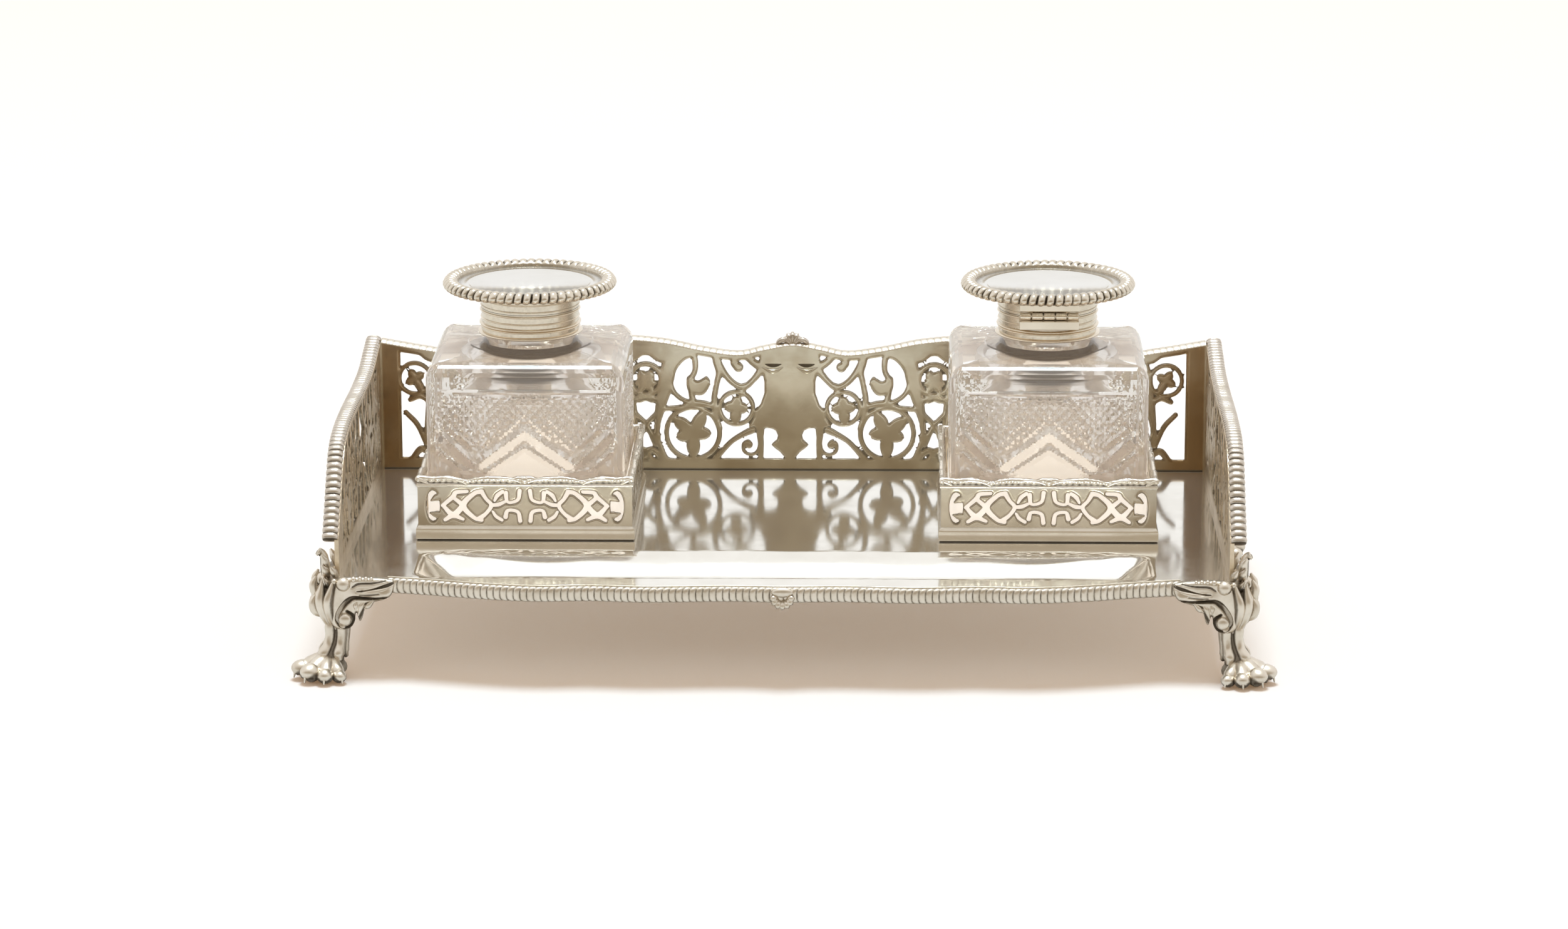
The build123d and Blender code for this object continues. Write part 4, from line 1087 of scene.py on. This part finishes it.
def foliageDistance(a, h):
    away = np.full(a.shape, 9.0)
    for points, halves in stems:
        away = joined(away, stemDistance(a, h, points, halves))
    for flower in flowers:
        away = joined(away, flowerDistance(a, h, *flower))
    for middle, radius in dots:
        away = joined(away, np.hypot(a - middle[0], h - middle[1]) - radius)
    return away - 0.2


# The frame left under the rail, over the band and beside the ends, below 0 outside its opening.
def frameDistance(h, top, ends):
    return np.minimum(np.minimum(h - sheet["band"], top - sheet["underRail"] - h), ends)


# The back gallery's metal: the foliage and its turned copies, the bare shield and the frame. Metal is
# where the distance is below 0.
def backMetal(x, h):
    a = np.abs(x - sheet["shift"])
    shieldIn = a - np.interp(h, *np.array(shieldEdge).T)
    away = joined(frameDistance(h, heightAlong(backLine, x), halfWidth - sheet["stile"] - np.abs(x)),
                  np.maximum(shieldIn, 2.0 - h))
    for turnedRun in (a, sheet["turnedAt"] - a, a - sheet["repeatAt"]):
        away = joined(away, foliageDistance(turnedRun, h))
    return away


def sideMetal(y, h):
    top = heightAlong(sideCurve, np.clip(y, -63, 69.9))
    ends = np.minimum(y - cornerY - sheet["frontStile"], backY - sheet["stile"] - y)
    petals = ((45, 7), (135, 7), (225, 7), (315, 7))
    away = np.minimum(frameDistance(h, top, ends), flowerDistance(y, h, *sheet["flower"], petals, 1.3))
    for points in (((0, 2), (0, 8), (0, 11.6)), ((0, 27.4), (0, 33), (0, 40))):
        away = np.minimum(away, stemDistance(y, h, points, (0.8, 0.7, 0.8)))
    for turnedRun in (np.abs(y), sheet["turnedAt"] - y, y + sheet["turnedAt"]):
        away = np.minimum(away, foliageDistance(turnedRun, h))
    return away


def galleryShell(line, low, high, metal, place):
    count = int((high - low) / sheet["step"]) + 1
    x = np.linspace(low, high, count)[None, :]
    rows = np.linspace(0, 1, int(sheet["high"] / sheet["step"]))[:, None]
    top = heightAlong(line, x) - sheet["underTop"]
    h = -tray["thick"] + (top + tray["thick"]) * rows
    x = x + 0 * h
    away = metal(x, h)
    edge = (rows < 1e-9) | (rows > 1 - 1e-9) | (x <= low + 1e-9) | (x >= high - 1e-9)
    away = np.where(edge, np.minimum(away, -0.001), away)
    return piercedShell(x, h, away, place, sheet["thick"], sheet["rim"], sheet["dome"])


middleBack = backY + sheet["thick"] / 2
backSheet = galleryShell(backLine, -halfWidth, halfWidth, backMetal,
                         lambda x, h, t: np.column_stack([x, middleBack + t, trayTop + h]))
# the scallops over the shield: on each side a bright crescent, standing for a highlight, with flanks
# painted dark, as shade, and a dark crescent painted as shade; with their places by distance and height,
# place along y, radius, flattening, darkness and the darkness of their flanks
crescents = ((((2.2, 34.9), (5.6, 33.5), (9.2, 34.9)), -0.1, 0.75, 0.9, 0.0, 0.9),
             (((2.4, 36.0), (5.5, 35.5), (8.6, 36.0)), 0.1, 0.7, 0.4, 1.0, 0.0))
scallops = []
for sign in (-1, 1):
    for run, out, radius, squash, dark, flank in crescents:
        run = [(sheet["shift"] + sign * x, backY + out, trayTop + h) for x, h in run]
        scallops.append(limb(run, (0.2, radius, 0.2), front, squash, 12, 8, dark, flank))
# painted shade: a dark line along the crease where the gallery meets the tray
seam = [(x, backY + 0.05, trayTop + 0.1) for x in np.linspace(-halfWidth + 0.5, halfWidth - 0.5, 9)]
scallops.append(limb(seam, 0.38, front, 1.0, 8, 3, 1.0, 0.0))
putPiece("back_pierced_gallery", [backSheet] + scallops, "tray", "pierced_silver", panelSilver,
         "back_gallery", sharp=50)
for side, sign in (("left", -1), ("right", 1)):
    middleSide = sign * (halfWidth + sheet["thick"] / 2)
    part = galleryShell(sideCurve, sheet["sideFront"], backY + sheet["thick"], sideMetal,
                        lambda y, h, t: np.column_stack([middleSide + sign * t, y, trayTop + h]))
    putPiece(f"{side}_pierced_gallery", [part], "tray", "pierced_silver", sideSilver, f"{side}_gallery",
             sharp=50)
print("galleries made")


holder = {"wall": 33.65, "thick": 1.05, "rim": 34.15, "base": 34.35, "inside": 32.25, "wallLow": 36.1,
          "wallHigh": 48.4, "rimHigh": 52.0, "step": 0.3, "beadPitch": 1.9, "bead": 0.45,
          "wave": ((0, 0.0), (2.6, -0.1), (4.2, -0.7), (6.0, -0.2), (12.0, 0.0), (15.5, -0.5), (18.0, -1.2),
                   (20.5, -0.6), (24.0, 0.1), (29.0, -0.3), (31.5, 0.0), (34.2, 0.1))}
# slots of half a wall, by distance from its middle and from its half height, with their half widths
slots = (
    (((1.6, 4.9), (2.3, 1.9), (5.4, 1.2), (6.0, 4.2)), (0.7, 0.55, 0.5, 0.75)),
    (((13.6, 4.6), (12.2, 2.2), (10.6, 0.2), (12.2, -2.4), (14.6, -4.3)), (0.75, 0.6, 0.65, 0.6, 0.8)),
    (((13.6, 4.6), (16.0, 3.9), (19.4, 0.1), (16.2, -3.8), (13.8, -4.6)), (0.8, 0.7, 0.95, 0.7, 0.7)),
    (((18.2, 4.6), (21.6, 4.3), (22.6, 2.9), (25.9, 0.0)), (0.6, 0.7, 0.75, 0.6)),
    (((19.4, 0.1), (22.8, 2.9)), (0.8, 0.6)),
    (((19.4, 0.0), (22.6, -2.9), (25.6, -0.2)), (0.9, 1.0, 0.6)),
    (((19.6, -4.4), (22.6, -3.2), (25.2, -4.6)), (0.55, 0.9, 0.6)),
    (((6.4, 1.3), (8.4, 0.4), (10.6, 0.2)), (0.5, 0.7, 0.6)),
    (((7.0, 4.6), (8.6, 3.4), (9.6, 1.6)), (0.6, 0.7, 0.4)),
    (((1.6, -4.9), (2.3, -2.0), (5.4, -1.5), (6.2, -3.6)), (0.7, 0.6, 0.55, 0.75)),
    (((7.4, -4.6), (9.2, -3.4), (10.2, -1.8)), (0.6, 0.6, 0.4)),
)
leaflets = (((25.6, 3.0), (27.6, 2.7), (29.4, 1.7)), ((25.4, -2.5), (27.6, -2.9), (29.8, -2.4)))


# The wall's metal: everything outside the slots and the oval end window, less the window's leaflets.
def wallMetal(a, h):
    a = np.abs(a)
    cut = np.full(a.shape, 9.0)
    for points, halves in slots:
        cut = np.minimum(cut, stemDistance(a, h, points, halves))
    window = (np.hypot((a - 28.9) / 2.15, h / 5.0) - 1) * 2.15
    for points in leaflets:
        window = np.maximum(window, -stemDistance(a, h, points, (0.5, 1.15, 0.3)))
    return -np.minimum(cut, window)


# The walls stand round the bottle: the first faces the front, and each next one is a quarter turn on.
def quarterTurned(part, centre, quarter):
    points, quads, dark = part
    c, s = quarterTurns[quarter]
    x, y = points[:, 0] - centre[0], points[:, 1] - centre[1]
    return np.column_stack([centre[0] + x * c - y * s, centre[1] + x * s + y * c, points[:, 2]]), quads, dark


def wallShell(centre):
    reach = holder["wall"] - 0.1
    x = np.linspace(-reach, reach, int(2 * reach / holder["step"]))[None, :]
    half = (holder["wallHigh"] - holder["wallLow"]) / 2 + 0.3
    h = np.linspace(-half, half, int(2 * half / holder["step"]))[:, None]
    x, h = x + 0 * h, h + 0 * x
    away = wallMetal(x, h)
    edge = (np.abs(x) > reach - 1e-6) | (np.abs(h) > half - 1e-6)
    away = np.where(edge, np.minimum(away, -0.001), away)
    middle = centre[1] - holder["wall"] + holder["thick"] / 2
    level = (holder["wallHigh"] + holder["wallLow"]) / 2

    def place(px, ph, t):
        return np.column_stack([centre[0] + px, middle + t, level + ph])

    return piercedShell(x, h, away, place, holder["thick"], 0.3, 0.6)


# A moulding round a square: every point of its profile follows the square of that half width. With a
# wave its top rises and falls along each side, and with a bead small beads run along its shoulder.
def squareMoulding(centre, profile, dark, perSide, wave=((0, 0), (1, 0)), bead=0.0):
    a, one = np.linspace(-1, 1, perSide, endpoint=False), np.ones(perSide)
    unitX = np.concatenate([a, one, -a, -one])
    unitY = np.concatenate([-one, a, one, -a])
    profile = np.asarray(profile, float)
    reach, z = profile[:, :1], profile[:, 1:]
    along = np.tile(a, 4)[None, :] * reach
    groove = 1 - np.abs(np.sin(math.pi * along / holder["beadPitch"])) ** 0.6
    near, under = (np.exp(-((z - (holder["rimHigh"] - below)) / 0.9) ** 2) for below in (1.2, 1.4))
    reach = reach - bead * groove * near
    # the grooves between the beads are painted darker just below their line, as shade
    dark = np.asarray(dark)[:, None] + (0.55 if bead else 0.0) * groove * under
    share = (z - z.min()) / (z.max() - z.min())
    z = z + np.interp(np.abs(along), *np.array(wave).T) * np.clip(share, 0, 1) ** 1.5
    points = np.stack([centre[0] + unitX * reach, centre[1] + unitY * reach, z], -1)
    return shell(points, np.clip(dark, 0, 1))


rimLeaves = ((((1.0, 50.0), (3.6, 50.9), (7.0, 51.2), (10.5, 50.4)), (0.4, 0.5, 0.5, 0.1)),
             (((18.2, 49.4), (20.6, 50.6), (24.4, 51.2), (28.4, 50.4)), (0.3, 0.5, 0.5, 0.1)),
             (((30.2, 49.6), (32.2, 50.6), (33.9, 51.4)), (0.3, 0.6, 0.4)))


def rimShells(centre):
    r, i, top = holder["rim"], holder["inside"], holder["rimHigh"]
    profile = [(i, 48.2), (i, top - 0.9), (i + 0.3, top - 0.25), (i + 0.8, top), (r - 0.5, top - 0.05),
               (r - 0.1, top - 0.4), (r, top - 0.9), (r - 0.1, top - 1.6), (r - 0.45, top - 2.0),
               (r - 0.5, top - 2.3), (r - 0.2, top - 2.6), (r - 0.15, 49.0), (r - 0.4, 48.5), (r - 0.6, 48.2),
               (i, 48.2)]
    # the hollow under the lip and the rim's underside are painted darker, as shade
    dark = [0.5, 0.2, 0, 0, 0, 0, 0.05, 0.2, 0.6, 0.7, 0.2, 0.1, 0.6, 0.8, 0.5]
    shells = [squareMoulding(centre, profile, dark, 170, holder["wave"], holder["bead"])]
    outer = centre[1] - r
    leaf = []
    for sign in (-1, 1):
        for run, radii in rimLeaves:
            points = [(centre[0] + sign * x, outer + 0.35, z) for x, z in run]
            leaf.append(limb(points, radii, front, 0.9, 10, 5, side=0.7))
    leaf.append(ball((centre[0], outer + 0.35, 50.7), (1.3, 0.7, 1.2), 16, 0.05))
    leaf.append(ball((centre[0] + r - 0.7, outer + 0.75, 51.0), (1.0, 1.0, 0.95), 16, 0.05))
    return shells + [quarterTurned(part, centre, quarter) for quarter in range(4) for part in leaf]


def baseShell(centre):
    r, i = holder["base"], holder["inside"]
    profile = [(i, 31.32), (r - 0.5, 31.32), (r - 0.5, 31.55), (r - 0.08, 31.7), (r, 32.0), (r, 34.6),
               (r - 0.15, 35.1), (r - 0.6, 35.6), (r - 0.7, 36.0), (r - 0.9, 36.3), (i, 36.3), (i, 31.32)]
    # the foot of the base is painted dark, as shade in the gap where it meets the tray
    return squareMoulding(centre, profile, [1, 1, 1, 0.5, 0.05, 0, 0, 0.1, 0.5, 0.2, 0.5, 1], 40)


for name, sign in (("left", -1), ("right", 1)):
    centre = (sign * bottleX, bottleY)
    wall = wallShell(centre)
    for quarter, side in enumerate(("front", "right", "back", "left")):
        putPiece(f"{name}_pierced_{side}_wall", [quarterTurned(wall, centre, quarter)], "tray",
                 "holder_silver", wallSilver, f"{name}_holder_{side}_wall", sharp=50)
    putPiece(f"{name}_leaf_rim", rimShells(centre), "tray", "holder_silver", holderSilver,
             f"{name}_holder_rim", sharp=50)
    putPiece(f"{name}_base_moulding", [baseShell(centre)], "tray", "holder_silver", holderSilver,
             f"{name}_holder_base", sharp=35)
print("holders made")


# the camera's place, its turn, tilt and roll in degrees, and its lens
cameraFacts = {"place": (0.034874, -1.46624, 0.43570), "angles": (1.4134, 14.7296, -0.1425), "lens": 109.75}
studio = {
    "skyWhite": (1.0, 1.0, 1.0),
    "ambient": (0.56, 0.47, 0.38),
    "front": (0.40, 0.33, 0.235),
    "keyColour": (0.80, 0.93, 1.0),
    "keyPower": 101.0,
    "keyPlace": (0.0, 0.24, 4.0),
    "keySize": 1.4,
    "floorLift": (0.19, 0.115, 0.06),
    "floor": (0.90, 0.93, 0.97),
    "floorFar": 6.0,
}


def makeCamera():
    turn, tilt, roll = np.radians(cameraFacts["angles"])
    ahead = np.array([-math.sin(turn) * math.cos(tilt), math.cos(turn) * math.cos(tilt), -math.sin(tilt)])
    right = np.array([math.cos(turn), math.sin(turn), 0.0])
    up = np.cross(right, ahead)
    right, up = right * math.cos(roll) + up * math.sin(roll), up * math.cos(roll) - right * math.sin(roll)
    camera = bpy.data.objects.new("camera", bpy.data.cameras.new("camera"))
    facing = Matrix(np.column_stack([right, up, -ahead]).tolist()).to_4x4()
    camera.matrix_world = Matrix.Translation(cameraFacts["place"]) @ facing
    camera.data.lens = cameraFacts["lens"]
    camera.data.sensor_width = 36.0
    camera.data.clip_start = 0.01
    camera.data.clip_end = 50.0
    bpy.context.scene.collection.objects.link(camera)
    bpy.context.scene.camera = camera


# The sky is white to the eye and through glass, warm and dimmer for soft light, and for
# mirrors it falls from white behind and above to a warm room in front.
def makeWorld():
    world = bpy.data.worlds.new("studio")
    world.use_nodes = True
    bpy.context.scene.world = world
    paint = Paint(world.node_tree)
    toward = paint.node("ShaderNodeTexCoord", {}, {}, "Generated")
    _, y, z = paint.parts(toward)
    behind = paint.ramp(y + z * 0.6, -0.75, 0.05)
    mirror = paint.blend(behind, rgba(studio["front"]), rgba(studio["skyWhite"]))
    colour = paint.blend(paint.seenBy("Glossy"), rgba(studio["ambient"]), mirror)
    seen = (paint.seenBy("Camera") + paint.seenBy("Transmission")).limited()
    colour = paint.blend(seen, colour, rgba(studio["skyWhite"]))
    background = paint.node("ShaderNodeBackground", {}, {"Color": colour, "Strength": 1.0})
    paint.node("ShaderNodeOutputWorld", {}, {"Surface": background})


# The floor is white where the lamp reaches it. To the eye its shadow has a little warm light added.
def makeFloor():
    material, paint = newPaint("paleFloor")
    glow = paint.blend(paint.seenBy("Camera"), rgba((0.0, 0.0, 0.0)), rgba(studio["floorLift"]))
    shader = paint.surface({
        "Base Color": rgba(studio["floor"]), "Roughness": 0.9, "Specular IOR Level": 0.0,
        "Emission Color": glow, "Emission Strength": 1.0})
    paint.node("ShaderNodeOutputMaterial", {}, {"Surface": shader})
    far = studio["floorFar"]
    mesh = bpy.data.meshes.new("floor")
    mesh.from_pydata([(-far, -far, 0), (far, -far, 0), (far, far, 0), (-far, far, 0)], [], [(0, 1, 2, 3)])
    mesh.materials.append(material)
    floor = bpy.data.objects.new("floor", mesh)
    bpy.context.scene.collection.objects.link(floor)


# One round lamp overhead, turned to the middle of the stage.
def makeLamp():
    lamp = bpy.data.objects.new("overhead", bpy.data.lights.new("overhead", "AREA"))
    lamp.data.shape = "DISK"
    lamp.data.size = studio["keySize"]
    lamp.data.energy = studio["keyPower"]
    lamp.data.color = studio["keyColour"]
    lamp.location = studio["keyPlace"]
    lamp.rotation_euler = (-lamp.location).to_track_quat("-Z", "Y").to_euler()
    bpy.context.scene.collection.objects.link(lamp)


makeCamera()
makeWorld()
makeFloor()
makeLamp()
bpy.context.scene.view_settings.view_transform = "Standard"
print("stage made")
